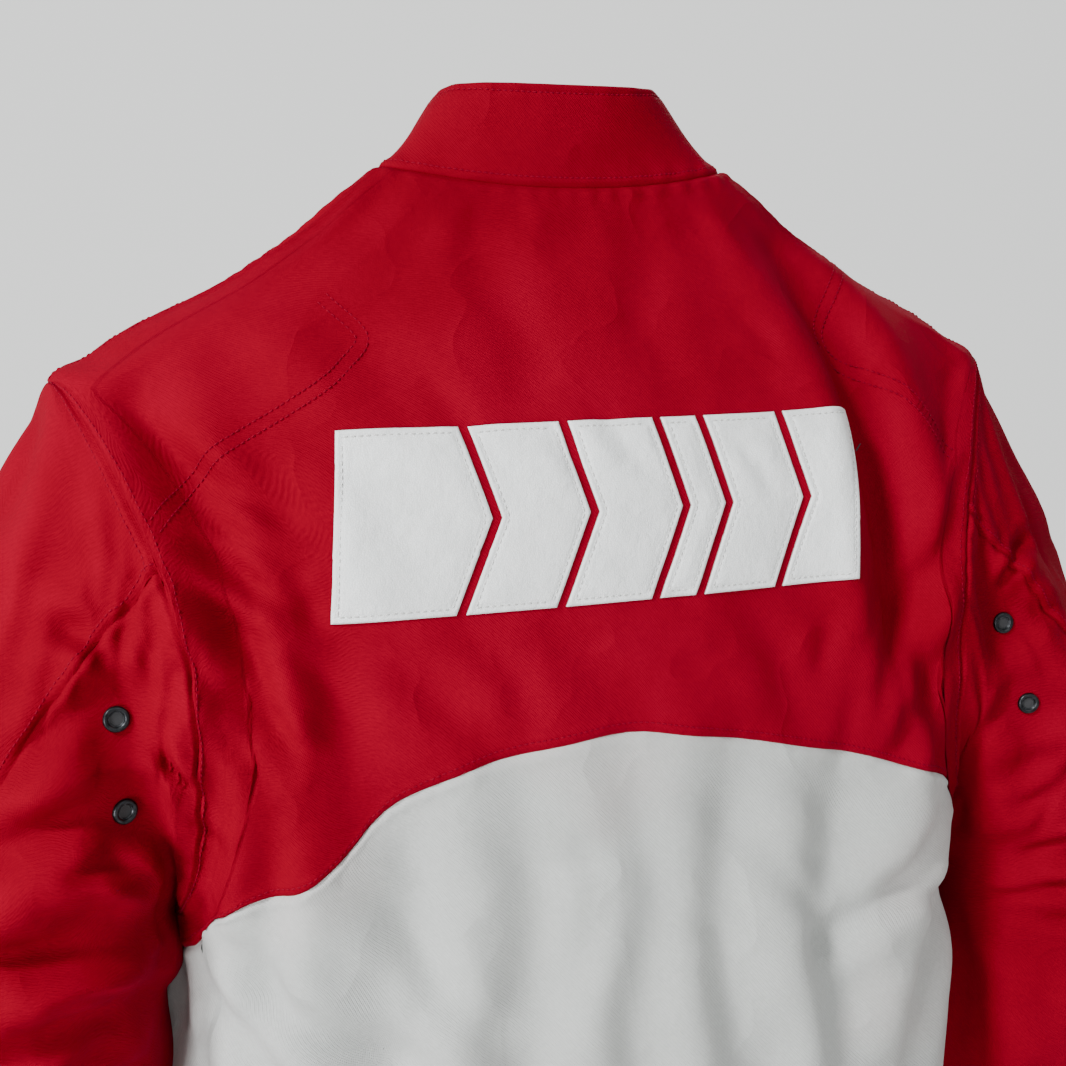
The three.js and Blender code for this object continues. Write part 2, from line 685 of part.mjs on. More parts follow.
function badgePiece(index) {
  const before = badgePieces.slice(0, index).reduce((sum, piece) => sum + piece.width + badgeGap, 0);
  const { width, startPoint, endPoint } = badgePieces[index];
  const layer = (depth) => range(6).map((up) => range(4).map((across) => {
    const arrow = mix(startPoint, endPoint, across) * (1 - Math.abs(2 * up - 1));
    const slant = badgeSlant * (0.5 - up);
    const x = badgeRowWidth / 2 - before - across * width - arrow - slant;
    const z = -badgeCentreDrop + (up - 0.5) * badgeHeight;
    const [angle, level] = backPlace(x, z);
    return torso(angle, level).addScaledVector(torsoNormal(angle, level), depth);
  }));
  return shellBetween(layer(badgeLift + badgeThickness), layer(badgeLift));
}

// ---- Main zip ----------------------------------------------------------------------------------------
// Built along its own line: x across, z up the line and -y outwards. The group leans with the line.

const zipTopZ = torso(-Math.PI / 2, collarLevel).z - 4;
const zipBottomZ = -jacketLength + 6;
const zipGroup = new THREE.Group();
zipGroup.position.set(0, frontY(zipTopZ), zipTopZ);
zipGroup.rotation.x = -Math.atan(frontLean);
const zipLength = (zipTopZ - zipBottomZ) / Math.cos(Math.atan(frontLean));
const toothBack = 0.6;             // depth of the back of the teeth below the face of the shell
const toothFront = toothBack - zipToothDepth;
const retainerHeight = 12;

function zipTape(side) {
  const inner = gap / 2;
  const outer = zipChannelHalfWidth - gap;
  const depth = toothBack + gap + zipTapeThickness / 2;
  return box(outer - inner, zipTapeThickness, zipLength, side * (inner + outer) / 2, depth, -zipLength / 2);
}

// One side of the teeth: a rail with a tooth every few millimetres along its inner edge.
function zipTeeth(side) {
  const pitch = 20;
  const length = zipLength - retainerHeight - 3 * gap;
  const count = Math.floor(length / pitch);
  const outline = new THREE.Shape();
  outline.moveTo(zipToothHalfWidth, 0);
  outline.lineTo(1.2, 0);
  for (let k = 0; k < count; k += 1) {
    const start = -k * pitch;
    outline.lineTo(1.2, start - pitch * 0.3);
    outline.lineTo(gap / 2, start - pitch * 0.3);
    outline.lineTo(gap / 2, start - pitch * 0.9);
    outline.lineTo(1.2, start - pitch * 0.9);
  }
  outline.lineTo(1.2, -length);
  outline.lineTo(zipToothHalfWidth, -length);
  outline.closePath();
  const geometry = new THREE.ExtrudeGeometry(outline, { depth: zipToothDepth, bevelEnabled: false });
  geometry.rotateX(Math.PI / 2).translate(0, toothBack, 0);
  return side > 0 ? geometry : mirrored(geometry);
}

const sliderFront = toothFront - gap - 2.2;

// The slider straddles the teeth: a front plate, two side walls and the bridge that the pull hangs from.
function sliderBody() {
  const top = -1;
  const plateDepth = 2.2;
  const middle = top - sliderLength / 2;
  const plate = box(2 * sliderHalfWidth, plateDepth, sliderLength, 0, sliderFront + plateDepth / 2, middle);
  const wallDepth = toothBack - gap - sliderFront;
  const wallX = sliderHalfWidth - sliderWall / 2;
  const walls = [-1, 1].map((side) => {
    return box(sliderWall, wallDepth, sliderLength, side * wallX, sliderFront + wallDepth / 2, middle);
  });
  const bridgeWidth = 2.4;
  const legs = [-2.2, -8.2].map((z) => box(bridgeWidth, 3.2, 1.6, 0, sliderFront - 1.4, z));
  const beam = box(bridgeWidth, 1.2, 7.6, 0, sliderFront - 3.2, -5.2);
  return joined(plate, ...walls, ...legs, beam);
}

// The pull is a flat tag with a window that the bridge passes through.
const pullBar = 1.3;                // height of the bar of the tag that turns inside the bridge
const pullPivot = new THREE.Vector3(0, sliderFront - 1.3, -4.1);
function pullTag() {
  const outline = new THREE.Shape();
  const half = pullWidth / 2;
  outline.moveTo(-half, pullBar / 2);
  outline.lineTo(half, pullBar / 2);
  outline.lineTo(half - 0.6, -pullLength + 3);
  outline.absarc(0, -pullLength + half, half - 0.6, 0, -Math.PI, true);
  outline.lineTo(-half + 0.6, -pullLength + 3);
  outline.closePath();
  const window = new THREE.Path();
  window.moveTo(-1.9, -pullBar / 2);
  window.lineTo(-1.9, -pullBar / 2 - 7.3);
  window.lineTo(1.9, -pullBar / 2 - 7.3);
  window.lineTo(1.9, -pullBar / 2);
  window.closePath();
  outline.holes.push(window);
  const geometry = new THREE.ExtrudeGeometry(outline, {
    depth: pullThickness, bevelEnabled: false, curveSegments: 6,
  });
  geometry.rotateX(Math.PI / 2);
  return geometry.translate(0, pullThickness / 2, 0);
}

function retainerBox() {
  const width = 2 * zipToothHalfWidth + 4;
  const depth = zipToothDepth + 1.2;
  return box(width, depth, retainerHeight, 0, toothBack - depth / 2, -zipLength + retainerHeight / 2);
}

// ---- Small zips --------------------------------------------------------------------------------------
// A pocket or cuff zip is a closed strip with its coil, seated on the shell, and a slider that runs on it.
// Both are built along +Z and put on the jacket by a frame: a place, the way along and the way out.

function stripFrame(start, end, out) {
  const along = end.clone().sub(start).normalize();
  const across = out.clone().cross(along).normalize();
  const outward = along.clone().cross(across).normalize();
  const matrix = new THREE.Matrix4().makeBasis(across, outward, along);
  matrix.setPosition(start);
  return { matrix, along, outward };
}

function smallZip(length) {
  const coilWidth = 2.4;
  const strip = box(smallZipWidth, smallZipThickness, length, 0, smallZipThickness / 2, length / 2);
  const coil = box(coilWidth, 1.2, length - 3, 0, smallZipThickness + 0.4, length / 2);
  return joined(strip, coil);
}

function smallSlider() {
  const floor = smallZipThickness + 1.0 + gap;
  const half = 3.0;
  const plate = box(2 * half, 1.4, smallSliderLength, 0, floor + 0.7, 0);
  const walls = [-1, 1].map((side) => box(0.9, 2.0, smallSliderLength, side * (half - 0.45), floor + 0.4 - 0.7, 0));
  const bridge = box(2, 1.8, 5, 0, floor + 2.1, 0);
  const tag = box(5, 1.2, 20, 0, floor + 3.2, -9);
  return joined(plate, ...walls, bridge, tag);
}

// ---- Locker loop -------------------------------------------------------------------------------------
// A flat strap in the back of the neck, to hang the jacket on a peg: a level run on two short legs.

const loopSpan = 64;
const loopStrap = 6;
const loopThickness = 1.6;
const loopLegHeight = 16;

function lockerLoop() {
  const half = loopSpan / 2;
  const outline = new THREE.Shape();
  outline.moveTo(-half, 0);
  outline.lineTo(half, 0);
  outline.lineTo(half, -loopLegHeight);
  outline.lineTo(half - loopStrap, -loopLegHeight);
  outline.lineTo(half - loopStrap, -loopThickness);
  outline.lineTo(-half + loopStrap, -loopThickness);
  outline.lineTo(-half + loopStrap, -loopLegHeight);
  outline.lineTo(-half, -loopLegHeight);
  outline.closePath();
  const geometry = new THREE.ExtrudeGeometry(outline, { depth: loopStrap, bevelEnabled: false });
  return geometry.rotateX(Math.PI / 2);
}
const loopTopZ = -neckBackDrop - 2;
const loopBackY = neckBackDepth - collarThickness - liningThickness - 2 * gap + 0.6;

// ---- Materials ---------------------------------------------------------------------------------------

const finish = (color, roughness, metalness = 0) => ({ color, roughness, metalness });
const redTwill = finish(0xb8001c, 0.85);
const whiteTwill = finish(0xd0d4d4, 0.85);
const whiteLeather = finish(0xe2e7e6, 0.55);
const liningCloth = finish(0x2a2a2e, 0.75);
const foam = finish(0x4a4c50, 0.95);
const zipTapeCloth = finish(0x1c1c1f, 0.9);
const gunmetal = finish(0x35363a, 0.35, 0.9);
const brightMetal = finish(0x8a8c90, 0.3, 0.95);
const blackWebbing = finish(0x18181a, 0.9);

const jacket = new THREE.Group();

function put(name, geometry, look, parent = jacket) {
  const mesh = new THREE.Mesh(geometry, new THREE.MeshStandardMaterial(look));
  mesh.name = name;
  parent.add(mesh);
  return mesh;
}

// ---- Assembly: torso ---------------------------------------------------------------------------------

put('back_yoke', torsoPanel('back', panelColumns, upperRows('back'), shellDepth, shellInside), redTwill);
put('back_lower_panel', torsoPanel('back', panelColumns, lowerRows('back'), shellDepth, shellInside), whiteTwill);
put('back_lining', torsoLining('back', panelColumns / 2), liningCloth);
put('back_pad', backPad(), foam);
for (const side of ['left', 'right']) {
  const upper = torsoPanel(side, panelColumns / 2, upperRows(side), shellDepth, shellInside);
  const lower = torsoPanel(side, panelColumns / 2, lowerRows(side), shellDepth, shellInside);
  put(`${side}_front_upper`, upper, redTwill);
  put(`${side}_front_lower`, lower, whiteTwill);
  put(`${side}_front_lining`, torsoLining(side, panelColumns / 4), liningCloth);
}
put('collar', collarLayer(0, collarThickness, 28), redTwill);
put('collar_lining', collarLayer(collarThickness + gap, liningThickness, 28), redTwill);
put('locker_loop', lockerLoop(), blackWebbing).position.set(0, loopBackY, loopTopZ);
badgePieces.forEach((piece, index) => put(`back_badge_${index + 1}`, badgePiece(index), whiteLeather));

// ---- Assembly: main zip ------------------------------------------------------------------------------

jacket.add(zipGroup);
for (const [name, side] of [['left', 1], ['right', -1]]) {
  put(`${name}_zip_tape`, zipTape(side), zipTapeCloth, zipGroup);
  put(`${name}_zip_teeth`, zipTeeth(side), brightMetal, zipGroup);
}
put('zip_retainer_box', retainerBox(), gunmetal, zipGroup);
put('zip_slider', sliderBody(), gunmetal, zipGroup);
put('zip_pull', pullTag(), gunmetal, zipGroup).position.copy(pullPivot);

// ---- Assembly: pocket zips ---------------------------------------------------------------------------

const pocketHemRise = 70;            // from the hem to the lower end of a pocket zip
const pocketTopDrop = jacketLength - pocketZipLength - pocketHemRise;
const pocketX = 130;
const pocketSlant = 22;
const pocketLift = 1.6;             // the strip lies on the curved front and clears its highest place

function frontPlace(x, z) {
  let angle = -Math.PI / 2;
  let level = 2;
  for (let k = 0; k < 12; k += 1) {
    const width = through(torsoRings, level);
    angle = -Math.acos(clamp(Math.abs(x) / width[3], 0, 1) ** (width[7] / 2));
    level = levelAtHeight(angle, z);
  }
  return { point: torso(angle, level), normal: torsoNormal(angle, level) };
}

function pocketFrame() {
  const drop = Math.sqrt(pocketZipLength ** 2 - pocketSlant ** 2);
  const top = frontPlace(pocketX, -pocketTopDrop);
  const bottom = frontPlace(pocketX + pocketSlant, -pocketTopDrop - drop);
  const start = bottom.point.addScaledVector(bottom.normal, pocketLift);
  const end = top.point.addScaledVector(top.normal, pocketLift);
  return stripFrame(start, end, top.normal);
}

const cuffZipLift = 1.3;
function cuffFrame() {
  const turn = 180 * degrees;
  const start = sleeve(turn, wristStep - 0.1, -cuffZipLift);
  const end = sleeve(turn, cuffStep - 1.1, -cuffZipLift);
  const out = sleeveSection(cuffStep).outward.clone().negate();
  return stripFrame(start, end, out);
}

// A pocket closes upwards and a cuff closes towards the wrist, where the tag of the slider still has room.
const pocketSliderAt = pocketZipLength - smallSliderLength / 2 - 2;
const cuffSliderAt = 22;
const smallZips = [
  { name: 'pocket', frame: pocketFrame(), length: pocketZipLength, sliderAt: pocketSliderAt },
  { name: 'cuff', frame: cuffFrame(), length: cuffZipLength, sliderAt: cuffSliderAt },
];
for (const { name, frame, length, sliderAt } of smallZips) {
  const strip = smallZip(length).applyMatrix4(frame.matrix);
  const slider = smallSlider().translate(0, 0, sliderAt).applyMatrix4(frame.matrix);
  put(`left_${name}_zip`, strip, zipTapeCloth);
  put(`right_${name}_zip`, mirrored(strip), zipTapeCloth);
  put(`left_${name}_slider`, slider, gunmetal);
  put(`right_${name}_slider`, mirrored(slider), gunmetal);
}

// ---- Assembly: sleeves -------------------------------------------------------------------------------

const everyDepth = (depth) => () => depth;
const underUpperPanel = withEyeletHoles(
  sleevePanel(underTurns, underColumns, upperSteps, everyDepth(0), everyDepth(clothThickness)));
const sleeveParts = [
  ['sleeve_outer_upper', sleevePanel(outerTurns, outerColumns, upperSteps, everyDepth(0), everyDepth(clothThickness)),
    redTwill],
  ['sleeve_under_upper', underUpperPanel, redTwill],
  ['sleeve_outer_forearm', sleevePanel(outerTurns, outerColumns, forearmSteps, everyDepth(0), everyDepth(clothThickness)),
    redTwill],
  ['sleeve_under_forearm', sleevePanel(underTurns, underColumns, forearmSteps, everyDepth(0), everyDepth(clothThickness)),
    redTwill],
  ['cuff', sleeveTube(1, [cuffStep, wristStep], everyDepth(-0.6), everyDepth(clothThickness + 0.4)), redTwill],
  ['upper_sleeve_lining', sleeveLining(upperSteps), liningCloth],
  ['forearm_lining', sleeveLining(forearmSteps), liningCloth],
  ['shoulder_pad', sleevePad(4, 10, upperSteps.slice(2, 6)), foam],
  ['elbow_pad', sleevePad(8, 13, [5.6, 5.95, 6.3, 6.7, 7.1]), foam],
  ['vent_eyelet_upper', seatedEyelet(eyeletPlaces[0], underUpperPanel), gunmetal],
  ['vent_eyelet_lower', seatedEyelet(eyeletPlaces[1], underUpperPanel), gunmetal],
];
for (const [name, geometry, look] of sleeveParts) {
  put(`left_${name}`, geometry, look);
  put(`right_${name}`, mirrored(geometry), look);
}

export default jacket;
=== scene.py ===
"""Motorcycle riding jacket, seen from behind: cloth, stitching, leather pieces, zips and trim.

The shapes are worked out in millimetres in the frame of the part (+Z up, front towards -Y, the wearer's
left is +X) and are turned into metres when a mesh is made.
"""
import json
import functools
import math

import bmesh
import bpy
import numpy as np
from mathutils import Matrix, Vector


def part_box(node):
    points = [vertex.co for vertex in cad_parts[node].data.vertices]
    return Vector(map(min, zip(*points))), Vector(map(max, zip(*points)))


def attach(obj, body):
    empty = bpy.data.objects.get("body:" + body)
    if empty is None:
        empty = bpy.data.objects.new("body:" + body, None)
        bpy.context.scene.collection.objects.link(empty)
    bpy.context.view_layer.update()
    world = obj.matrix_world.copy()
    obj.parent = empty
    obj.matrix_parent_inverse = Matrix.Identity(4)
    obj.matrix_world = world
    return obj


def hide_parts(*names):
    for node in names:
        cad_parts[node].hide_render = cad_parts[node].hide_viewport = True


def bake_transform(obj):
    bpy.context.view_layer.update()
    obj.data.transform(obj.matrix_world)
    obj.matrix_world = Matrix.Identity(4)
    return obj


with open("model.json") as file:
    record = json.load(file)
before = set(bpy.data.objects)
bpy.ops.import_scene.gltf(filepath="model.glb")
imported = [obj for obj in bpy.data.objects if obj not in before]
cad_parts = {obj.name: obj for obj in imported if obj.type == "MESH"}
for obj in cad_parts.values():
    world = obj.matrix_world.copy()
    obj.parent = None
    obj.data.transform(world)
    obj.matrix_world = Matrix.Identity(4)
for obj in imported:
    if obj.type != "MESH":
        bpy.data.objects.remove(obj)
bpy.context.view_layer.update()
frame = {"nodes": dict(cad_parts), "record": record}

JOINTS = {joint["name"]: joint for joint in frame["record"]["behaviour"]["joints"]}
METRES = 0.001

# ---- Driving dimensions, in millimetres ---------------------------------------------------------------

SHOULDER_TIP = np.array(JOINTS["left_shoulder"]["pos_m"]) / METRES
ELBOW_PIVOT = np.array(JOINTS["left_elbow"]["pos_m"]) / METRES
JACKET_LENGTH = round(-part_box("back_lower_panel")[0].z / METRES)
UNDERARM_DROP = 375.0
UNDERARM_HALF_WIDTH = 205.0
SHOULDER_HALF_WIDTH = SHOULDER_TIP[0]
SHOULDER_DROP = -SHOULDER_TIP[2]
HEM_HALF_WIDTH = 226.0
HEM_BACK_DEPTH = 108.0
CHEST_BACK_DEPTH = 106.0
NECK_HALF_WIDTH = 97.0
NECK_BACK_DEPTH = 42.0
NECK_FRONT_DROP = 78.0
NECK_BACK_DROP = 13.0
COLLAR_HEIGHT = 43.0
COLLAR_TOP_HALF_WIDTH = 60.0
COLLAR_RISE = 9.0                          # how much higher the worn collar stands at the back than its cut
FRONT_DEPTH = 81.4
FRONT_LEAN = 0.0343
SLEEVE_LENGTH = 315.0
CUFF_HEIGHT = 35.0
CUFF_HALF_WIDTH = 40.0
CUFF_HALF_DEPTH = 40.0
ELBOW_HALF_WIDTH = 71.0
ELBOW_HALF_DEPTH = 64.0
ELBOW_DROP = -ELBOW_PIVOT[2]
ZIP_CHANNEL = 6.0
CLOTH = 1.5                     # thickness of the shell cloth

UNDERARM, TIP, NECK, COLLAR_TOP = 3.0, 5.0, 7.0, 8.0     # levels of the torso rings
CUFF, WRIST = 8.0, 9.0                                   # steps of the sleeve sections


def mix(a, b, t):
    return a + (b - a) * t


def smooth(t):
    t = np.clip(t, 0, 1)
    return t * t * (3 - 2 * t)


def through(rows, step):
    """A smooth curve through the rows of a table, read at any step between them."""
    rows = np.asarray(rows, float)
    step = np.asarray(step, float)
    last = len(rows) - 1
    k = np.clip(np.floor(step).astype(int), 0, last - 1)
    t = (step - k)[..., None]
    here, there = rows[k], rows[k + 1]
    before = np.where((k > 0)[..., None], rows[np.maximum(k - 1, 0)], 2 * here - there)
    after = np.where((k + 2 <= last)[..., None], rows[np.minimum(k + 2, last)], 2 * there - here)
    curve = (3 * here - before - 3 * there + after) * t ** 3
    bend = (2 * before - 5 * here + 4 * there - after) * t ** 2
    return 0.5 * (2 * here + (there - before) * t + bend + curve)


def bisect(low, high, is_below, rounds=36):
    low, high = np.array(low, float), np.array(high, float)
    for _ in range(rounds):
        middle = (low + high) / 2
        below = is_below(middle)
        low, high = np.where(below, middle, low), np.where(below, high, middle)
    return (low + high) / 2


# ---- Torso surface ------------------------------------------------------------------------------------
# Rings from the hem (level 0) to the top of the collar (level 8). Angle 0 is the wearer's left seam, 90
# degrees the middle of the back, and minus 90 the middle of the front.


def front_y(z):
    return -(FRONT_DEPTH - FRONT_LEAN * z)


def ring(side_z, back_z, front_z, half_width, back_y, ridge_y, power):
    return [side_z, back_z, front_z, half_width, back_y, front_y(front_z), ridge_y, power]


def below_arm(share):
    return mix(-JACKET_LENGTH, -UNDERARM_DROP, share)


RINGS = [
    ring(-JACKET_LENGTH, -JACKET_LENGTH, -JACKET_LENGTH, HEM_HALF_WIDTH, HEM_BACK_DEPTH, 0, 2.3),
    ring(below_arm(0.35), below_arm(0.35), below_arm(0.35), HEM_HALF_WIDTH, HEM_BACK_DEPTH + 2, 0, 2.3),
    ring(below_arm(0.67), below_arm(0.67), below_arm(0.67), mix(HEM_HALF_WIDTH, UNDERARM_HALF_WIDTH, 0.2),
         HEM_BACK_DEPTH + 2, 0, 2.3),
    ring(-UNDERARM_DROP, -UNDERARM_DROP + 3, -UNDERARM_DROP, UNDERARM_HALF_WIDTH, CHEST_BACK_DEPTH, 0, 2.3),
    ring(-mix(UNDERARM_DROP, SHOULDER_DROP, 0.5), -mix(UNDERARM_DROP, SHOULDER_DROP, 0.51),
         -mix(UNDERARM_DROP, SHOULDER_DROP, 0.42), SHOULDER_HALF_WIDTH + 26, CHEST_BACK_DEPTH - 5, 4, 2.2),
    ring(-SHOULDER_DROP, -SHOULDER_DROP - 36, -SHOULDER_DROP - 81, SHOULDER_HALF_WIDTH,
         CHEST_BACK_DEPTH - 18, 10, 2.1),
    ring(-SHOULDER_DROP * 0.46, -mix(NECK_BACK_DROP, SHOULDER_DROP + 36, 0.39),
         -mix(NECK_FRONT_DROP, SHOULDER_DROP + 81, 0.44), mix(NECK_HALF_WIDTH, SHOULDER_HALF_WIDTH, 0.475),
         mix(NECK_BACK_DEPTH, CHEST_BACK_DEPTH - 18, 0.48), 14, 2.05),
    ring(0, -NECK_BACK_DROP, -NECK_FRONT_DROP, NECK_HALF_WIDTH, NECK_BACK_DEPTH, 17, 2.2),
    ring(COLLAR_HEIGHT - 8, COLLAR_HEIGHT - NECK_BACK_DROP, COLLAR_HEIGHT - NECK_FRONT_DROP - 1,
         COLLAR_TOP_HALF_WIDTH, NECK_BACK_DEPTH + 1, 5, 2.6),
]


def torso(angle, level):
    angle, level = np.broadcast_arrays(np.asarray(angle, float), np.asarray(level, float))
    values = np.moveaxis(through(RINGS, level), -1, 0)
    side_z, back_z, front_z, half_width, back_y, middle_y, ridge_y, power = values
    across, deep = np.cos(angle), np.sin(angle)
    x = half_width * np.sign(across) * np.abs(across) ** (2 / power)
    reach = np.where(deep >= 0, back_y, middle_y) - ridge_y
    y = ridge_y + reach * np.abs(deep) ** (2 / power)
    z = mix(side_z, np.where(deep >= 0, back_z, front_z), deep * deep)
    return np.stack([x, y, z], -1)


def unit(vectors):
    return vectors / np.maximum(np.linalg.norm(vectors, axis=-1, keepdims=True), 1e-9)


def torso_normal(angle, level):
    step = 0.02
    around = torso(angle + step, level) - torso(angle - step, level)
    level = np.asarray(level, float)
    up = torso(angle, np.minimum(level + step, COLLAR_TOP)) - torso(angle, np.maximum(level - step, 0))
    return unit(np.cross(around, up))


def level_at_height(angle, z):
    highest = np.full_like(angle, COLLAR_TOP)
    return bisect(np.zeros_like(angle), highest, lambda k: torso(angle, k)[..., 2] < z)


def back_place(x, z):
    """Angle and level of the point of the back that lies at a given x and z."""
    x, z = np.broadcast_arrays(np.asarray(x, float), np.asarray(z, float))
    angle = np.full(x.shape, math.pi / 2)
    level = np.full(x.shape, 4.0)
    for _ in range(10):
        row = through(RINGS, level)
        share = np.clip(np.abs(x / row[..., 3]), 0, 1) ** (row[..., 7] / 2)
        angle = np.arccos(np.sign(x) * share)
        level = level_at_height(angle, z)
    return angle, level


# ---- Armhole ------------------------------------------------------------------------------------------

ARM_TOP = torso(0.0, TIP)
ARM_BOTTOM = torso(0.0, UNDERARM)
ARM_CENTRE = (ARM_TOP + ARM_BOTTOM) / 2
ARM_UP = unit((ARM_TOP - ARM_BOTTOM) * [1, 0, 1])
ARM_BACK = np.array([0.0, 1.0, 0.0])
ARM_OUT = np.array([ARM_UP[2], 0.0, -ARM_UP[0]])
SEAM_INSET = {1: 26.0, -1: 14.0}          # how far the sewn seam curves in from the plane, back and front


def rim_angle(level, sign, inset=0.0):
    """Angle at which a ring meets the plane of the armhole, or the seam that curves inside it."""
    level = np.asarray(level, float)
    inside = np.sin(np.pi * np.clip((level - UNDERARM) / (TIP - UNDERARM), 0, 1)) ** 0.6 * inset
    found = bisect(np.zeros_like(level), np.full_like(level, math.pi / 2),
                   lambda a: (torso(sign * a, level) - ARM_CENTRE) @ ARM_OUT > -inside)
    return np.where((level > UNDERARM) & (level < TIP), found, 0.0)


RIM_M = np.linspace(0, 2, 161)


def rim_level(m):
    return np.where(m <= 1, mix(UNDERARM, TIP, m), mix(UNDERARM, TIP, 2 - m))


def rim_point(m, share):
    """A point of the band between the seam (share 0) and the plane of the armhole (share 1)."""
    level = rim_level(m)
    back = mix(rim_angle(level, 1, SEAM_INSET[1]), rim_angle(level, 1), share)
    front = -mix(rim_angle(level, -1, SEAM_INSET[-1]), rim_angle(level, -1), share)
    return torso(np.where(m <= 1, back, front), level)


RIM_REACH = rim_point(RIM_M, 1.0) - ARM_CENTRE
RIM_TURN = np.unwrap(np.arctan2(RIM_REACH @ ARM_BACK, RIM_REACH @ ARM_UP)[::-1])
RIM_TURN = RIM_TURN - RIM_TURN[len(RIM_TURN) // 2]
RIM_RADIUS = np.linalg.norm(RIM_REACH - np.outer(RIM_REACH @ ARM_OUT, ARM_OUT), axis=1)[::-1]


def wrap_turn(turn):
    return (np.asarray(turn) + np.pi) % (2 * np.pi) - np.pi


def rim_m(turn):
    return np.interp(wrap_turn(turn), RIM_TURN, RIM_M[::-1])


def rim_radius(turn):
    return np.interp(wrap_turn(turn), RIM_TURN, RIM_RADIUS)


# ---- Sleeve surface -----------------------------------------------------------------------------------
# Sections from the armhole (step 0) past the elbow (step 5) to the wrist (step 9); steps from -1 to 0 are
# the band of the torso surface between the curved seam and the plane of the armhole.

WRIST_Z = -UNDERARM_DROP - SLEEVE_LENGTH
ELBOW_X = ELBOW_PIVOT[0]
WRIST_X = SHOULDER_HALF_WIDTH + 54
WRIST_Y = -30.0
SLEEVE_POWER = 2.15                        # roundness of a section: 2 is an ellipse
ROUND_STEPS = 2.2                          # steps over which the armhole's shape turns into an oval


def upper_share(share):
    return mix(-UNDERARM_DROP - 5, -ELBOW_DROP, share)


def lower_share(share):
    return mix(-ELBOW_DROP, WRIST_Z + CUFF_HEIGHT, share)


SECTIONS = [
    [ARM_TOP[0], ARM_TOP[2], ARM_BOTTOM[0], ARM_BOTTOM[2], 76, 5, 0],
    [ARM_TOP[0] + 34, ARM_TOP[2] - 58, ARM_BOTTOM[0] + 5, ARM_BOTTOM[2] - 13, 76, 3, 0],
    [ARM_TOP[0] + 81, ARM_TOP[2] - 158, ARM_BOTTOM[0] + 14, upper_share(0.24), 75, 0, 0],
    [ELBOW_X + ELBOW_HALF_WIDTH - 6, ARM_TOP[2] - 241, ELBOW_X - ELBOW_HALF_WIDTH - 9, upper_share(0.48),
     71, 1, 0],
    [ELBOW_X + ELBOW_HALF_WIDTH, upper_share(0.33), ELBOW_X - ELBOW_HALF_WIDTH - 4, upper_share(0.76),
     68, 2, 0],
    [ELBOW_X + ELBOW_HALF_WIDTH, 11 - ELBOW_DROP, ELBOW_X - ELBOW_HALF_WIDTH, -11 - ELBOW_DROP,
     ELBOW_HALF_DEPTH, 2, 0],
    [ELBOW_X + ELBOW_HALF_WIDTH - 4, lower_share(0.36), ELBOW_X - ELBOW_HALF_WIDTH + 10, lower_share(0.44),
     58, -6, 5],
    [ELBOW_X + ELBOW_HALF_WIDTH - 11, lower_share(0.74), ELBOW_X - ELBOW_HALF_WIDTH + 24, lower_share(0.82),
     50, -19, 11],
    [WRIST_X + CUFF_HALF_WIDTH, WRIST_Z + CUFF_HEIGHT + 6, WRIST_X - CUFF_HALF_WIDTH - 9,
     WRIST_Z + CUFF_HEIGHT - 6, CUFF_HALF_DEPTH + 3, -28, 14],
    [WRIST_X + CUFF_HALF_WIDTH - 3, WRIST_Z + 6, WRIST_X - CUFF_HALF_WIDTH + 1, WRIST_Z - 6,
     CUFF_HALF_DEPTH, -38, 15],
]


def sleeve(turn, step):
    turn, step = np.broadcast_arrays(np.asarray(turn, float), np.asarray(step, float))
    held = np.clip(step, 0, WRIST)
    out_x, out_z, in_x, in_z, half_depth, centre_y, lean = np.moveaxis(through(SECTIONS, held), -1, 0)
    outward = np.stack([out_x - in_x, 0 * out_x, out_z - in_z], -1)
    half_width = np.linalg.norm(outward, axis=-1) / 2
    outward = unit(outward)
    lean = np.radians(lean)
    backward = np.stack([0 * lean, np.cos(lean), np.sin(lean)], -1)
    centre = np.stack([(out_x + in_x) / 2, centre_y, (out_z + in_z) / 2], -1)
    across, deep = np.abs(np.cos(turn) / half_width), np.abs(np.sin(turn) / half_depth)
    oval = (across ** SLEEVE_POWER + deep ** SLEEVE_POWER) ** (-1 / SLEEVE_POWER)
    reach = mix(rim_radius(turn), oval, smooth(held / ROUND_STEPS))
    return centre + outward * (np.cos(turn) * reach)[..., None] + backward * (np.sin(turn) * reach)[..., None]


FRONT_SEAM_TURN = math.radians(-112)


def back_seam_turn(step):
    return np.radians(mix(64, 98, smooth(step / 2.4)))


BACK_SEAM_SHARE = 0.55


def sleeve_turn(share, step):
    """Turn around the sleeve, from its front seam over the outside to the back seam, and on underneath."""
    share = np.asarray(share, float) % 1.0
    back = back_seam_turn(step)
    outer = mix(FRONT_SEAM_TURN, back, share / BACK_SEAM_SHARE)
    under = mix(back, FRONT_SEAM_TURN + 2 * math.pi, (share - BACK_SEAM_SHARE) / (1 - BACK_SEAM_SHARE))
    return np.where(share <= BACK_SEAM_SHARE, outer, under)


def sleeve_base(share, step):
    share, step = np.broadcast_arrays(np.asarray(share, float), np.asarray(step, float))
    turn = sleeve_turn(share, step)
    band = rim_point(rim_m(turn), np.clip(step + 1, 0, 1))
    return np.where((step < 0)[..., None], band, sleeve(turn, step))


def edge_pull(share, edge, reach, room):
    """How far a line of the cloth is drawn in beside an edge, dying away into the middle of the panel."""
    width = np.minimum(room, reach * edge + 0.03 * room / 0.5)
    return edge * np.clip(1 - share / width, 0, 1) ** 1.6


def back_angle(share, level):
    edge = rim_angle(level, 1, SEAM_INSET[1])
    return math.pi * share + edge_pull(share, edge, 0.65, 0.5) - edge_pull(1 - share, edge, 0.65, 0.5)


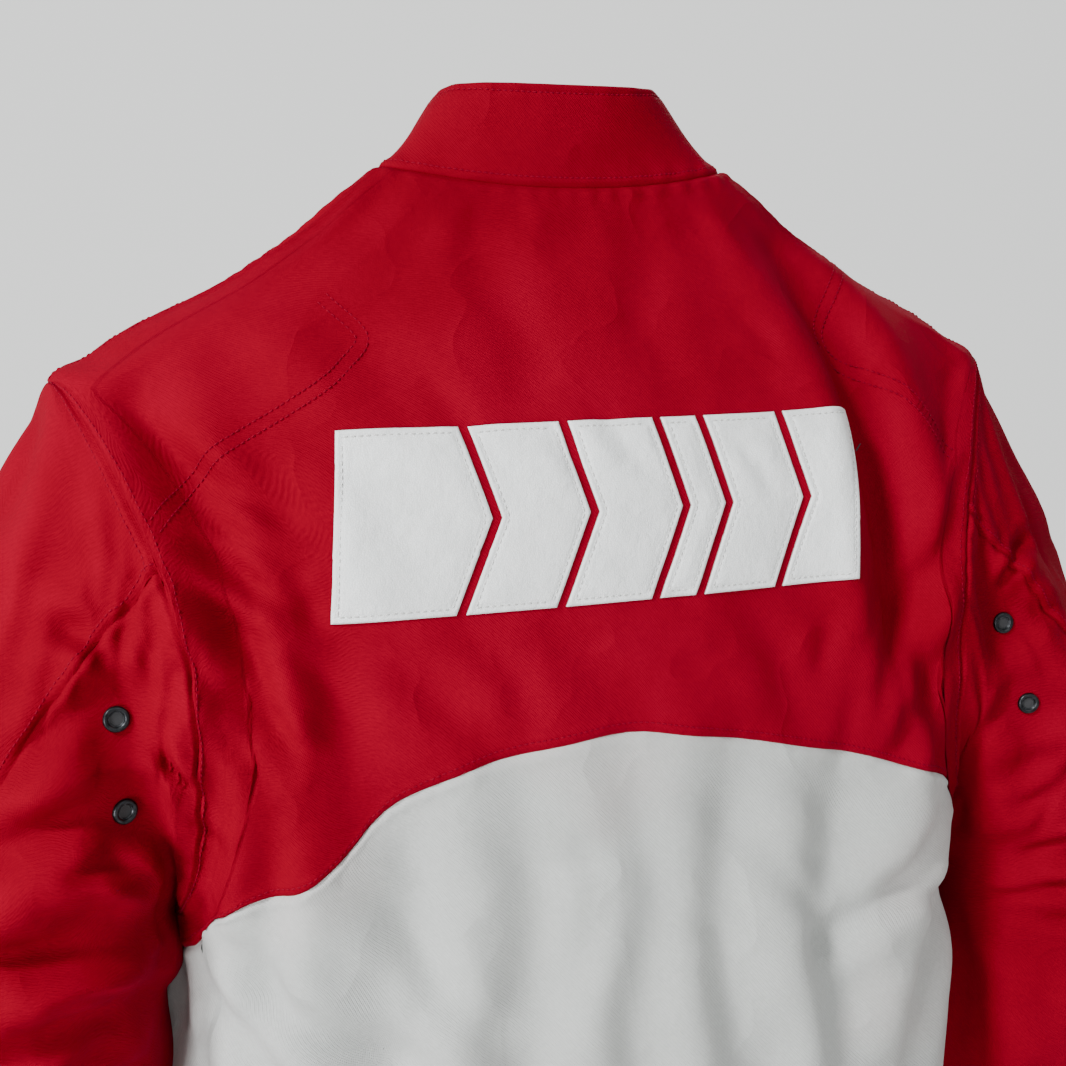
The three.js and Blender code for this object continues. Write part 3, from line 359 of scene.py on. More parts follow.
def back_base(share, level):
    share, level = np.broadcast_arrays(np.asarray(share, float), np.asarray(level, float))
    return torso(back_angle(share, level), level)


def zip_angle(level):
    row = through(RINGS, level)
    return np.arccos((ZIP_CHANNEL / row[..., 3]) ** (row[..., 7] / 2))


def front_angle(share, level):
    edge = rim_angle(level, -1, SEAM_INSET[-1])
    return -(share * zip_angle(level) + edge_pull(share, edge, 1.33, 1.0))


def front_base(share, level):
    """The wearer's left front, from the side seam to the zip."""
    share, level = np.broadcast_arrays(np.asarray(share, float), np.asarray(level, float))
    return torso(front_angle(share, level), level)


def collar_base(share, level):
    share, level = np.broadcast_arrays(np.asarray(share, float), np.asarray(level, float))
    edge = zip_angle(level)
    rise = COLLAR_RISE * np.sin(math.pi * share) ** 0.6 * smooth((level - NECK) / (COLLAR_TOP - NECK))
    return torso(mix(-edge, math.pi + edge, share), level) + rise[..., None] * [0, 0, 1]


# ---- Folds --------------------------------------------------------------------------------------------
# A fold is a valley along a line on the cloth, with a softer ridge along both sides. Lines on the back
# are given by x and z, lines on a sleeve by turn in degrees and step.

FOLDS = []


def fold(points, depth, width, ridge=0.45):
    """depth and width in millimetres; ridge is how high the cloth stands beside the valley, as a share."""
    FOLDS.append((np.asarray(points, float), depth, width, ridge))


def back_line(*places):
    places = np.array(places, float)
    angle, level = back_place(places[:, 0], places[:, 1])
    return torso(angle, level)


def sleeve_line(side, *places):
    places = np.array(places, float)
    turn, step = np.radians(places[:, 0]), places[:, 1]
    band = rim_point(rim_m(turn), np.clip(step + 1, 0, 1))
    points = np.where((step < 0)[:, None], band, sleeve(turn, step))
    return points * [side, 1, 1]


def line_distance(points, line):
    """Distance from each point to a line of straight pieces, the share along it, and the side it lies on."""
    flat = points.reshape(-1, 3)
    best = np.full(len(flat), 1e9)
    along = np.zeros(len(flat))
    lengths = np.linalg.norm(np.diff(line, axis=0), axis=1)
    ends = np.concatenate([[0], np.cumsum(lengths)])
    for k in range(len(line) - 1):
        piece = line[k + 1] - line[k]
        t = np.clip((flat - line[k]) @ piece / (piece @ piece), 0, 1)
        away = np.linalg.norm(flat - line[k] - t[:, None] * piece, axis=1)
        nearer = away < best
        best = np.where(nearer, away, best)
        along = np.where(nearer, (ends[k] + t * lengths[k]) / ends[-1], along)
    return best.reshape(points.shape[:-1]), along.reshape(points.shape[:-1])


def fine_line(line, count=14):
    """The same line with rounded corners."""
    return through(line, np.linspace(0, len(line) - 1, count))


STILL_LINES = []                           # where a zip or eyelet is fixed and the cloth lies flat
SEWN_WIDTH = 5.0                           # how far to each side of it the cloth doesn't move at all


def calm(points, reach=24.0):
    """From 0 beside a sewn zip or an eyelet to 1 where the cloth is free."""
    share = np.ones(points.shape[:-1])
    for line in STILL_LINES:
        away, _ = line_distance(points, line)
        share = share * smooth((away - SEWN_WIDTH) / reach)
    return share


FOLD_END = 0.06                            # share of a fold's line that is lost in its fading at each end
RIDGE_REACH = 1.5                          # where the ridges stand highest, in widths of the valley


def fold_height(points):
    """How far the folds lift the cloth at each place; below zero in a valley."""
    height = np.zeros(points.shape[:-1])
    for line, depth, width, ridge in FOLDS:
        away, along = line_distance(points, fine_line(line))
        taper = np.sin(np.pi * np.clip(FOLD_END + (1 - 2 * FOLD_END) * along, 0, 1)) ** 0.7
        valley = np.exp(-(away / width) ** 2)
        beside = (away / (RIDGE_REACH * width)) ** 2
        sides = beside * np.exp(1 - beside)
        height = height + depth * taper * (ridge * sides - valley)
    return height * calm(points)


for node in ("left_pocket_zip", "right_pocket_zip", "left_cuff_zip", "right_cuff_zip"):
    solid = np.array([tuple(vertex.co) for vertex in frame["nodes"][node].data.vertices]) / METRES
    order = np.argsort(solid[:, 2])
    STILL_LINES.append(np.array([solid[order[:4]].mean(axis=0), solid[order[-4:]].mean(axis=0)]))

EYELETS = {1: ((97, 0.45), (127, 0.68)), -1: ((95, 0.5), (115, 1.12))}     # turn in degrees and step
for side_sign, places in EYELETS.items():
    for turn, step in places:
        STILL_LINES.append(sleeve_line(side_sign, (turn - 2, step), (turn + 2, step)))

BACK_FOLDS = [
    # Soft hollows beside the spine, drag lines from the shoulders to the arms, crumples at the armholes.
    ([(150, -60), (105, -105), (62, -150)], 2.6, 18),
    ([(176, -92), (152, -130), (120, -158)], 2.4, 13),
    ([(222, -118), (196, -180), (184, -262), (192, -352)], 9.0, 15, 0.6),
    ([(186, -100), (166, -170), (150, -240), (140, -320)], 5.0, 17, 0.6),
    ([(232, -118), (206, -148), (166, -172)], 4.5, 8, 0.7),
    ([(224, -146), (196, -172), (160, -196)], 4.0, 7, 0.7),
    ([(216, -172), (190, -196), (158, -218)], 5.0, 8, 0.7),
    ([(210, -200), (188, -226), (170, -262)], 5.0, 8, 0.7),
    ([(204, -236), (176, -276), (166, -330), (172, -420)], 6.5, 11, 0.7),
    ([(-130, -44), (-154, -105), (-168, -180), (-174, -262), (-184, -350)], 15.0, 19, 0.6),
    ([(-218, -150), (-206, -220), (-200, -300), (-204, -350)], 4.0, 9, 0.6),
    ([(-206, -206), (-182, -240), (-160, -262)], 4.0, 9, 0.6),
    ([(-196, -262), (-172, -300), (-150, -322)], 3.4, 10, 0.6),
    ([(60, -38), (38, -90), (44, -126)], 2.0, 15),
    ([(-40, -36), (-30, -84), (-46, -124)], 1.8, 14),
    ([(130, -232), (98, -262), (70, -290)], 3.2, 12),
    ([(30, -236), (12, -262), (-12, -286)], 2.2, 13),
    ([(-70, -236), (-90, -262), (-100, -298)], 2.6, 12),
    ([(84, -232), (60, -256), (52, -288)], 2.0, 9),
    # Lower back: long soft folds that fall from the seam, and slack at the sides.
    ([(112, -322), (122, -400), (142, -500), (150, -620)], 7.0, 19, 0.8),
    ([(60, -306), (50, -380), (64, -470), (60, -600)], 5.5, 21, 0.8),
    ([(4, -298), (-8, -380), (2, -460), (-10, -620)], 4.6, 19, 0.7),
    ([(-62, -310), (-48, -400), (-66, -500), (-70, -640)], 6.0, 19, 0.8),
    ([(-128, -330), (-118, -420), (-136, -520), (-130, -640)], 6.0, 17, 0.8),
    ([(184, -372), (156, -420), (104, -456)], 6.0, 11, 0.8),
    ([(196, -398), (168, -450), (122, -500)], 5.5, 12, 0.8),
    ([(206, -440), (182, -500), (160, -570)], 5.0, 13, 0.8),
    ([(-180, -366), (-150, -402), (-108, -428)], 5.0, 11, 0.8),
    ([(-196, -400), (-172, -470), (-160, -560)], 5.5, 14, 0.8),
    ([(86, -330), (44, -352), (8, -346)], 2.6, 11),
    ([(-30, -330), (-70, -352), (-96, -392)], 3.0, 12),
    ([(150, -352), (118, -376), (86, -430)], 3.4, 10, 0.7),
    ([(30, -330), (22, -372), (34, -420)], 2.6, 10, 0.7),
]


def sleeve_folds(turns):
    """Slanting folds round the upper arm, gathers under the arm and at the elbow."""
    return [
        ([(158, -0.1), (118 + turns, 0.9), (76, 1.9), (30, 2.6)], 7.0, 11, 0.8),
        ([(166, 0.6), (130 - turns, 1.6), (92, 2.5), (40, 3.3)], 8.5, 12, 0.8),
        ([(150, 1.4), (122, 2.0), (104 + turns, 2.3)], 5.0, 8, 0.8),
        ([(156, 1.9), (116, 2.9), (72 + turns, 3.6), (20, 4.1)], 7.5, 12, 0.8),
        ([(140, 2.7), (118, 3.4), (96, 3.7)], 4.5, 8, 0.8),
        ([(140, 3.3), (100, 3.9), (60, 4.4), (20, 4.6)], 7.0, 11, 0.8),
        ([(96, -0.5), (84 - turns, 0.6), (60, 1.7)], 5.5, 10, 0.7),
        ([(74, -0.5), (56, 0.4), (40, 1.2)], 3.6, 9, 0.7),
        ([(48, -0.6), (36 + turns, 0.6), (26, 1.6), (20, 2.6)], 4.4, 15, 0.7),
        ([(20, 0.3), (8, 1.2), (2, 2.2), (0, 3.3)], 3.4, 18, 0.6),
        ([(-40, 0.4), (-30, 1.5), (-44, 2.6), (-60, 3.6)], 6.0, 15, 0.7),
        ([(-110, 0.2), (-84, 1.2), (-66, 2.3)], 6.0, 12, 0.7),
        ([(-140, 4.2), (-90, 4.7), (-40, 4.6)], 6.0, 9, 0.8),
        ([(-150, 5.0), (-96, 5.2), (-44, 5.1)], 7.0, 9, 0.8),
        ([(-140, 5.7), (-90, 5.6), (-40, 5.8)], 5.0, 9, 0.8),
        ([(130, 5.0), (90, 5.6), (50, 6.4), (10, 6.8)], 5.0, 12, 0.7),
        ([(150, 6.0), (110, 6.5), (60, 6.6), (20, 6.2)], 4.5, 10, 0.7),
        ([(-130, 6.8), (-90, 7.3), (-40, 7.2)], 4.0, 8, 0.7),
    ]


for places, *look in BACK_FOLDS:
    fold(back_line(*places), *look)
for side_sign, turns, much in ((1, 0, 1.0), (-1, 9, 0.6)):
    for places, depth, width, ridge in sleeve_folds(turns):
        fold(sleeve_line(side_sign, *places), depth * much, width, ridge)


def crumple(line, across, along, lean, count, depth, width, seed):
    """Short creases thrown over a stretch of cloth: across and along are its limits, lean their slant."""
    draw = np.random.default_rng(seed)
    for _ in range(count):
        start = np.array([draw.uniform(*across), draw.uniform(*along)])
        end = start + np.array(lean) * draw.uniform(0.5, 1.2)
        bend = (end - start) * draw.uniform(-0.12, 0.12)
        middle = (start + end) / 2 + [bend[0], -bend[1]]
        fold(line(start, middle, end), draw.uniform(*depth), draw.uniform(*width), 0.9)


# Limits across and along, slant, how many, limits of depth and of width, and the seed.
SLEEVE_CREASES = [
    ((60, 150), (-0.2, 2.2), (-34, 0.55), 13, (1.4, 3.0), (4.5, 7), 11),
    ((50, 160), (2.2, 4.6), (-40, 0.4), 14, (1.6, 3.4), (4.5, 7), 21),
    ((-10, 60), (0.2, 4.2), (16, 0.6), 8, (0.9, 2.0), (5, 9), 31),
    ((-170, -40), (1.0, 7.0), (30, 0.3), 16, (1.4, 3.0), (5, 8), 41),
]
BACK_CREASES = [
    ((165, 225), (-330, -150), (-30, -34), 12, (1.2, 2.8), (4.5, 7), 51),
    ((-190, -120), (-300, -120), (10, -46), 8, (0.8, 1.8), (5, 8), 52),
    ((-110, 120), (-280, -60), (-24, -36), 12, (0.5, 1.1), (5, 9), 53),
    ((-170, 170), (-470, -320), (-34, -26), 16, (0.8, 1.6), (6, 10), 54),
    ((-180, 180), (-620, -400), (8, -70), 12, (1.0, 2.2), (7, 12), 55),
]
for side_sign in (1, -1):
    for *look, seed in SLEEVE_CREASES:
        crumple(functools.partial(sleeve_line, side_sign), *look, seed + side_sign)
for row in BACK_CREASES:
    crumple(back_line, *row)


def front_line(side, *places):
    """Places on a front, by the share from side seam to zip and the level."""
    places = np.array(places, float)
    return front_base(places[:, 0], places[:, 1]) * [side, 1, 1]


def front_folds(lean):
    """Slack from the armholes, and soft vertical folds beside the zip and above the hem."""
    return [
        ([(0.05, 4.6), (0.28 + lean, 4.1), (0.5, 3.6)], 5.0, 14, 0.7),
        ([(0.03, 3.9), (0.24, 3.5), (0.42 + lean, 2.9)], 6.0, 13, 0.7),
        ([(0.03, 3.2), (0.2, 2.8), (0.34, 2.0), (0.38, 1.2)], 6.0, 14, 0.7),
        ([(0.62, 5.6), (0.58 + lean, 4.4), (0.62, 3.2), (0.6, 2.2)], 4.0, 20, 0.7),
        ([(0.86, 5.0), (0.84, 3.6), (0.85 + lean, 2.2), (0.84, 0.8)], 3.2, 15, 0.7),
        ([(0.72, 2.0), (0.7, 1.2), (0.74, 0.3)], 4.0, 15, 0.7),
        ([(0.14, 2.4), (0.12 + lean, 1.4), (0.16, 0.3)], 5.0, 15, 0.7),
    ]


for side_sign, lean in ((1, 0.0), (-1, 0.05)):
    for places, *look in front_folds(lean):
        fold(front_line(side_sign, *places), *look)


# ---- Tables of the cloth ------------------------------------------------------------------------------


def read_table(table, u, v, loop):
    """Smooth reading of a grid of values at shares u and v, both from 0 to 1."""
    rows, columns = table.shape[0], table.shape[1]
    u, v = np.broadcast_arrays(np.asarray(u, float), np.asarray(v, float))
    column = u * (columns if loop else columns - 1)
    row = np.clip(v, 0, 1) * (rows - 1)
    if not loop:
        column = np.clip(column, 0, columns - 1)
    i = np.floor(column).astype(int)
    j = np.floor(row).astype(int)
    i = i if loop else np.clip(i, 0, columns - 2)
    j = np.clip(j, 0, rows - 2)

    def weights(t):
        return (
            0.5 * (-t + 2 * t ** 2 - t ** 3), 0.5 * (2 - 5 * t ** 2 + 3 * t ** 3),
            0.5 * (t + 4 * t ** 2 - 3 * t ** 3), 0.5 * (-t ** 2 + t ** 3),
        )

    def column_values(r, c):
        if loop:
            return table[r, c % columns]
        inside = table[r, np.clip(c, 0, columns - 1)]
        low = 2 * table[r, 0] - table[r, 1]
        high = 2 * table[r, columns - 1] - table[r, columns - 2]
        return np.where((c < 0)[..., None], low, np.where((c > columns - 1)[..., None], high, inside))

    def row_values(r, c):
        inside = column_values(np.clip(r, 0, rows - 1), c)
        low = 2 * column_values(0 * r, c) - column_values(0 * r + 1, c)
        high = 2 * column_values(0 * r + rows - 1, c) - column_values(0 * r + rows - 2, c)
        return np.where((r < 0)[..., None], low, np.where((r > rows - 1)[..., None], high, inside))

    result = 0
    column_weights, row_weights = weights(column - i), weights(row - j)
    for b in range(4):
        for a in range(4):
            share = (column_weights[a] * row_weights[b])[..., None]
            result = result + share * row_values(j + b - 1, i + a - 1)
    return result


def grid_normals(points, loop):
    if loop:
        across = np.roll(points, -1, axis=1) - np.roll(points, 1, axis=1)
    else:
        across = np.gradient(points, axis=1)
    up = np.gradient(points, axis=0)
    return unit(np.cross(across, up))


FILL_LEFT, FILL_RIGHT = 16.0, 28.0         # how far the worn jacket stands out under each arm
SLEEVE_FILL = 19.0                         # how far the inner side of a sleeve swells towards the body
FILL_GROWS, FILL_FADES = (105.0, 210.0), (250.0, 370.0)        # distances from the middle of the body
FILL_DEEPENS, FILL_SHRINKS = (215.0, 365.0), (455.0, 570.0)    # distances below the neck
INNER_SIDE = (205.0, 280.0)                # distances from the middle over which a sleeve's swelling fades
SWELLS, SUBSIDES = (400.0, 470.0), (600.0, 670.0)              # distances below the neck, for the same
HEM_FILL = 0.6                             # share of the fill that the body keeps at its hem


def ramp_up(value, limits):
    """From 0 at the first limit to 1 at the second, without a corner."""
    return smooth((value - limits[0]) / (limits[1] - limits[0]))


def fill_sides(points, sleeve_side):
    """The jacket hangs fuller under the arms than its cut, and the sleeves lie against it."""
    x, drop = points[..., 0], -points[..., 2]
    out = np.abs(x)
    near = ramp_up(out, FILL_GROWS) * (1 - ramp_up(out, FILL_FADES))
    fade = 1 - ramp_up(drop, FILL_SHRINKS) * (1.0 if sleeve_side else 1 - HEM_FILL)
    shift = np.where(x > 0, FILL_LEFT, -FILL_RIGHT) * near * ramp_up(drop, FILL_DEEPENS) * fade
    if sleeve_side:
        inner = 1 - ramp_up(out, INNER_SIDE)
        swollen = ramp_up(drop, SWELLS) * (1 - ramp_up(drop, SUBSIDES))
        shift = shift - np.sign(x) * SLEEVE_FILL * inner * swollen
    return points + shift[..., None] * [1, 0, 0]


CORNER_REACH = 16.0                        # how near to a corner of the armhole the plain facing serves


class Patch:
    """One stretch of the garment, held as a grid of places that any piece on it can be read from."""

    def __init__(self, name, base, low, high, rows, columns, loop=False, flip=False, direction=None):
        self.name, self.low, self.high, self.loop, self.flip = name, low, high, loop, flip
        share = np.arange(columns) / columns if loop else np.linspace(0, 1, columns)
        self.share, self.level = np.meshgrid(share, np.linspace(low, high, rows))
        self.points = base(self.share, self.level)
        self.direction = direction(self) if direction else self.normals_of(self.points)

    def normals_of(self, points):
        normals = grid_normals(points, self.loop)
        return -normals if self.flip else normals

    def settle(self):
        self.points = self.points + self.direction * fold_height(self.points)[..., None]

    def finish(self):
        """Fills the sides out and works out the facing, which stays plain beside the armhole's corners."""
        self.trim = self.points
        self.points = fill_sides(self.points, self.loop)
        facing = self.normals_of(self.points)
        corner = np.zeros(self.share.shape)
        for place in (ARM_TOP, ARM_BOTTOM):
            away = np.linalg.norm(np.abs(self.points[..., [0, 2]]) - np.abs(place[[0, 2]]), axis=-1)
            corner = np.maximum(corner, np.exp(-(away / CORNER_REACH) ** 2))
        self.normals = unit(mix(facing, self.direction, corner[..., None]))

    def place(self, u, level):
        v = (np.asarray(level, float) - self.low) / (self.high - self.low)
        return read_table(self.points, u, v, self.loop)

    def trim_place(self, u, level):
        """The same place before the sides are filled out."""
        v = (np.asarray(level, float) - self.low) / (self.high - self.low)
        return read_table(self.trim, u, v, self.loop)

    def normal(self, u, level):
        v = (np.asarray(level, float) - self.low) / (self.high - self.low)
        return unit(read_table(self.normals, u, v, self.loop))

    def plain_normal(self, u, level):
        """The facing before any fold, for what lies behind the cloth."""
        v = (np.asarray(level, float) - self.low) / (self.high - self.low)
        return unit(read_table(self.direction, u, v, self.loop))


MIRROR = np.array([-1.0, 1.0, 1.0])


def mirrored(base):
    return lambda share, level: base(share, level) * MIRROR


def back_direction(patch):
    return torso_normal(back_angle(patch.share, patch.level), patch.level)


def front_direction(sign):
    def direction(patch):
        return torso_normal(front_angle(patch.share, patch.level), patch.level) * [sign, 1, 1]
    return direction


def sleeve_direction(sign):
    """Across the band beside the armhole the facing turns from the trunk's to the sleeve's."""
    def direction(patch):
        turn = sleeve_turn(patch.share, patch.level)
        m = rim_m(turn)
        level = rim_level(m)
        angle = np.where(m <= 1, rim_angle(level, 1, SEAM_INSET[1]), -rim_angle(level, -1, SEAM_INSET[-1]))
        at_seam = torso_normal(angle, level) * [sign, 1, 1]
        away = patch.normals_of(patch.points)
        clear = np.argmin(np.abs(patch.level[:, 0] - 0.3))
        away[:clear] = away[clear]
        return unit(mix(at_seam, away, smooth((patch.level + 1) / 1.3)[..., None]))
    return direction


def soften_cap(patch, rounds=26):
    """Rounds the corner where the sleeve leaves the shoulder, and leaves the sewn seam where it is."""
    reach = np.clip((patch.level + 1) / 0.6, 0, 1) * np.clip((1.6 - patch.level) / 1.2, 0, 1)
    for _ in range(rounds):
        ahead = np.roll(patch.points, -1, axis=0)
        behind = np.roll(patch.points, 1, axis=0)
        middle = (ahead + behind) / 2
        middle[0], middle[-1] = patch.points[0], patch.points[-1]
        patch.points = mix(patch.points, middle, 0.8 * reach[..., None])


BACK = Patch("back", back_base, 0, NECK, 197, 141, direction=back_direction)
FRONTS = {
    1: Patch("left_front", front_base, 0, NECK, 197, 71, flip=True, direction=front_direction(1)),
    -1: Patch("right_front", mirrored(front_base), 0, NECK, 197, 71, direction=front_direction(-1)),
}
SLEEVES = {
    1: Patch("left_sleeve", sleeve_base, -1, WRIST, 241, 140, loop=True, flip=True),
    -1: Patch("right_sleeve", mirrored(sleeve_base), -1, WRIST, 241, 140, loop=True),
}
for sign, patch in SLEEVES.items():
    soften_cap(patch)
    patch.direction = sleeve_direction(sign)(patch)
COLLAR = Patch("collar", collar_base, NECK, COLLAR_TOP, 25, 181)
COLLAR.finish()


# ---- Hang of the cloth --------------------------------------------------------------------------------


def simulate(name, vertices, faces, held, soft, grow, frames=26):
    """Lets a coarse net of the cloth sag between its held seams, and returns how far each point moved."""
    mesh = bpy.data.meshes.new(name)
    mesh.from_pydata([tuple(v) for v in vertices * METRES], [], faces)
    net = bpy.data.objects.new(name, mesh)
    bpy.context.scene.collection.objects.link(net)
    group = net.vertex_groups.new(name="held")
    for index, weight in enumerate(np.where(held, 1.0, soft)):
        group.add([index], float(weight), "REPLACE")
    cloth = net.modifiers.new("cloth", "CLOTH")
    settings = cloth.settings
    settings.quality = 6
    settings.mass = 0.35
    settings.tension_stiffness = 40
    settings.compression_stiffness = 40
    settings.shear_stiffness = 12
    settings.bending_stiffness = 4.0
    settings.air_damping = 4
    settings.vertex_group_mass = "held"
    settings.pin_stiffness = 1.0
    settings.shrink_min = -grow
    cloth.collision_settings.use_collision = False
    cloth.collision_settings.use_self_collision = False
    cloth.point_cache.frame_start = 1
    cloth.point_cache.frame_end = frames
    scene = bpy.context.scene
    for number in range(1, frames + 1):
        scene.frame_set(number)
    seen = net.evaluated_get(bpy.context.evaluated_depsgraph_get())
    moved = np.empty(len(vertices) * 3, np.float32)
    seen.data.vertices.foreach_get("co", moved)
    moved = moved.reshape(-1, 3) / METRES - vertices
    scene.frame_set(1)
    bpy.data.objects.remove(net)
    bpy.data.meshes.remove(mesh)
    return moved


def grid_faces(numbers, loop):
    """Faces of a grid of vertex numbers."""
    here, right = numbers[:-1, :-1], numbers[:-1, 1:]
    above, far = numbers[1:, :-1], numbers[1:, 1:]
    faces = np.stack([here, right, far, above], -1).reshape(-1, 4)
    if loop:
        seam = np.stack([numbers[:-1, -1], numbers[:-1, 0], numbers[1:, 0], numbers[1:, -1]], -1)
        faces = np.concatenate([faces, seam])
    return [tuple(int(k) for k in face) for face in faces]


def hang_torso():
    """The trunk is one net: its seams to the sleeves, its neck, hem and zip edges are held."""
    patches = [BACK, FRONTS[1], FRONTS[-1]]
    places, numbers, start = [], [], 0
    for patch in patches:
        coarse = patch.points[::4, ::2]
        places.append(coarse.reshape(-1, 3))
        numbers.append(np.arange(coarse.shape[0] * coarse.shape[1]).reshape(coarse.shape[:2]) + start)
        start += coarse.shape[0] * coarse.shape[1]
    points = np.concatenate(places)
    rows = numbers[0].shape[0]
    level = np.linspace(0, NECK, rows)
    joined = (level <= UNDERARM) | (level >= TIP)
    same = np.arange(len(points))
    back, left, right = numbers
    for row in np.nonzero(joined)[0]:
        same[left[row, 0]] = back[row, 0]
        same[right[row, 0]] = back[row, -1]
    held = np.zeros(len(points), bool)
    for grid in numbers:
        held[grid[0]] = held[grid[-1]] = True
    held[left[:, -1]] = held[right[:, -1]] = True
    at_corner = np.minimum(np.abs(level - TIP), np.abs(level - UNDERARM)) < 0.01
    for row in np.nonzero(~joined | at_corner)[0]:
        held[[back[row, 0], back[row, -1], left[row, 0], right[row, 0]]] = True
    kept, index = np.unique(same, return_inverse=True)
    faces = []
    for grid, patch in zip(numbers, patches):
        for face in grid_faces(index[grid], False):
            faces.append(face[::-1] if patch.flip else face)
    moved = simulate("trunk_net", points[kept], faces, held[kept], 0.08, 0.022)[index]
    return [moved[grid] for grid in numbers]


def hang_sleeve(patch):
    coarse = patch.points[::3, ::2]
    numbers = np.arange(coarse.shape[0] * coarse.shape[1]).reshape(coarse.shape[:2])
    held = np.zeros(numbers.size, bool)
    held[numbers[0]] = held[numbers[-1]] = True
    level = np.linspace(patch.low, patch.high, coarse.shape[0])
    held[numbers[level >= CUFF - 0.1]] = True
    moved = simulate(patch.name + "_net", coarse.reshape(-1, 3), grid_faces(numbers, True), held, 0.07, 0.032)
    return moved[numbers]


MOST_HANG = 8.0                 # the furthest that the simulated cloth may move in or out
SEAM_CALM = 22.0                # beside an armhole seam, how far away it moves freely
NECK_CALM = 0.7                 # the same below the neck seam, in levels


def soften(values, loop):
    """Evens a grid out a little, so that no fold is narrower than the net can show."""
    padded_rows = np.pad(values, ((1, 1), (0, 0), (0, 0)), mode="edge")
    values = (padded_rows[:-2] + 2 * padded_rows[1:-1] + padded_rows[2:]) / 4
    padded_columns = np.pad(values, ((0, 0), (1, 1), (0, 0)), mode="wrap" if loop else "edge")
    return (padded_columns[:, :-2] + 2 * padded_columns[:, 1:-1] + padded_columns[:, 2:]) / 4


def add_hang(patch, moved):
    """Moves the cloth in and out as the net moved, and less beside the armhole seams, which stay put."""
    v = (patch.level - patch.low) / (patch.high - patch.low)
    height = (read_table(moved, patch.share, v, patch.loop) * patch.direction).sum(-1, keepdims=True)
    seam = smooth(rim_seam_distance(patch.points) / SEAM_CALM)
    neck = 1.0 if patch.loop else smooth((NECK - patch.level) / NECK_CALM)
    height = MOST_HANG * np.tanh(height / MOST_HANG) * (seam * neck * calm(patch.points))[..., None]
    patch.points = patch.points + patch.direction * soften(height, patch.loop)


def rim_seam_distance(points):
    """Distance of each place from the nearer armhole seam."""
    line = rim_point(np.linspace(0, 2, 61), 0.0)
    aside = np.abs(points) * [1, 0, 0] + points * [0, 1, 1]
    away, _ = line_distance(aside, line)
    return away


for patch in (BACK, *FRONTS.values(), *SLEEVES.values()):
    patch.settle()
for patch, moved in zip((BACK, FRONTS[1], FRONTS[-1]), hang_torso()):
    add_hang(patch, moved)
for patch in SLEEVES.values():
    add_hang(patch, hang_sleeve(patch))
for patch in (BACK, *FRONTS.values(), *SLEEVES.values()):
    patch.finish()


# ---- Materials ----------------------------------------------------------------------------------------


class Shader:
    """A node material with short ways to add and join nodes."""

    def __init__(self, name, slot, roughness, **fixed):
        self.material = bpy.data.materials.new(name)
        self.material.use_nodes = True
        self.slot = slot
        self.tree = self.material.node_tree
        self.surface = self.tree.nodes["Principled BSDF"]
        self.surface.inputs["Roughness"].default_value = roughness
        for key, value in fixed.items():
            self.surface.inputs[key.replace("_", " ")].default_value = value
        self.height = None

    def add(self, kind, inputs=(), **settings):
        node = self.tree.nodes.new(kind)
        for key, value in settings.items():
            setattr(node, key, value)
        for key, value in dict(inputs).items():
            if isinstance(value, bpy.types.NodeSocket):
                self.tree.links.new(value, node.inputs[key])
            else:
                node.inputs[key].default_value = value
        return node

    def math(self, operation, a, b=0.0, c=0.0):
        return self.add("ShaderNodeMath", {0: a, 1: b, 2: c}, operation=operation).outputs[0]

    def object_space(self):
        return self.add("ShaderNodeTexCoord").outputs["Object"]

    def noise(self, scale, detail=3.0, vector=None, rough=0.5):
        vector = vector or self.object_space()
        inputs = {"Vector": vector, "Scale": scale, "Detail": detail, "Roughness": rough}
        return self.add("ShaderNodeTexNoise", inputs).outputs["Fac"]

    def ribs(self, vector, scale, distortion, direction):
        inputs = {"Vector": vector, "Scale": scale, "Distortion": distortion}
        return self.add("ShaderNodeTexWave", inputs, bands_direction=direction).outputs["Fac"]

    def cells(self, scale, **settings):
        inputs = {"Vector": self.object_space(), "Scale": scale}
        return self.add("ShaderNodeTexVoronoi", inputs, **settings).outputs["Distance"]

    def stretched(self, vector, scale):
        return self.add("ShaderNodeVectorMath", {0: vector, 1: scale}, operation="MULTIPLY").outputs[0]

    def ramp(self, factor, *stops):
        node = self.add("ShaderNodeValToRGB", {"Fac": factor})
        elements = node.color_ramp.elements
        while len(elements) < len(stops):
            elements.new(0.5)
        for element, (position, colour) in zip(elements, stops):
            element.position = position
            element.color = (*colour, 1.0)
        return node.outputs["Color"]

    def mix(self, factor, a, b, blend="MIX"):
        node = self.add("ShaderNodeMix", {"Factor": factor}, data_type="RGBA", blend_type=blend)
        for socket, value in ((node.inputs[6], a), (node.inputs[7], b)):
            if isinstance(value, bpy.types.NodeSocket):
                self.tree.links.new(value, socket)
            else:
                socket.default_value = (*value, 1.0)
        return node.outputs[2]

    def colour(self, socket):
        self.tree.links.new(socket, self.surface.inputs["Base Color"])

    def roughness(self, factor, low, high):
        spread = self.add("ShaderNodeMapRange", {"Value": factor, "To Min": low, "To Max": high})
        self.tree.links.new(spread.outputs[0], self.surface.inputs["Roughness"])

    def bump(self, height, distance, strength=1.0):
        inputs = {"Height": height, "Distance": distance, "Strength": strength}
        if self.height is not None:
            inputs["Normal"] = self.height
        self.height = self.add("ShaderNodeBump", inputs).outputs["Normal"]
        self.tree.links.new(self.height, self.surface.inputs["Normal"])


WEAVE = "weave"                            # name of the flat map, in metres of cloth
CANVAS_PITCH, LINING_PITCH = 0.0011, 0.0016   # two threads of the weave, in metres


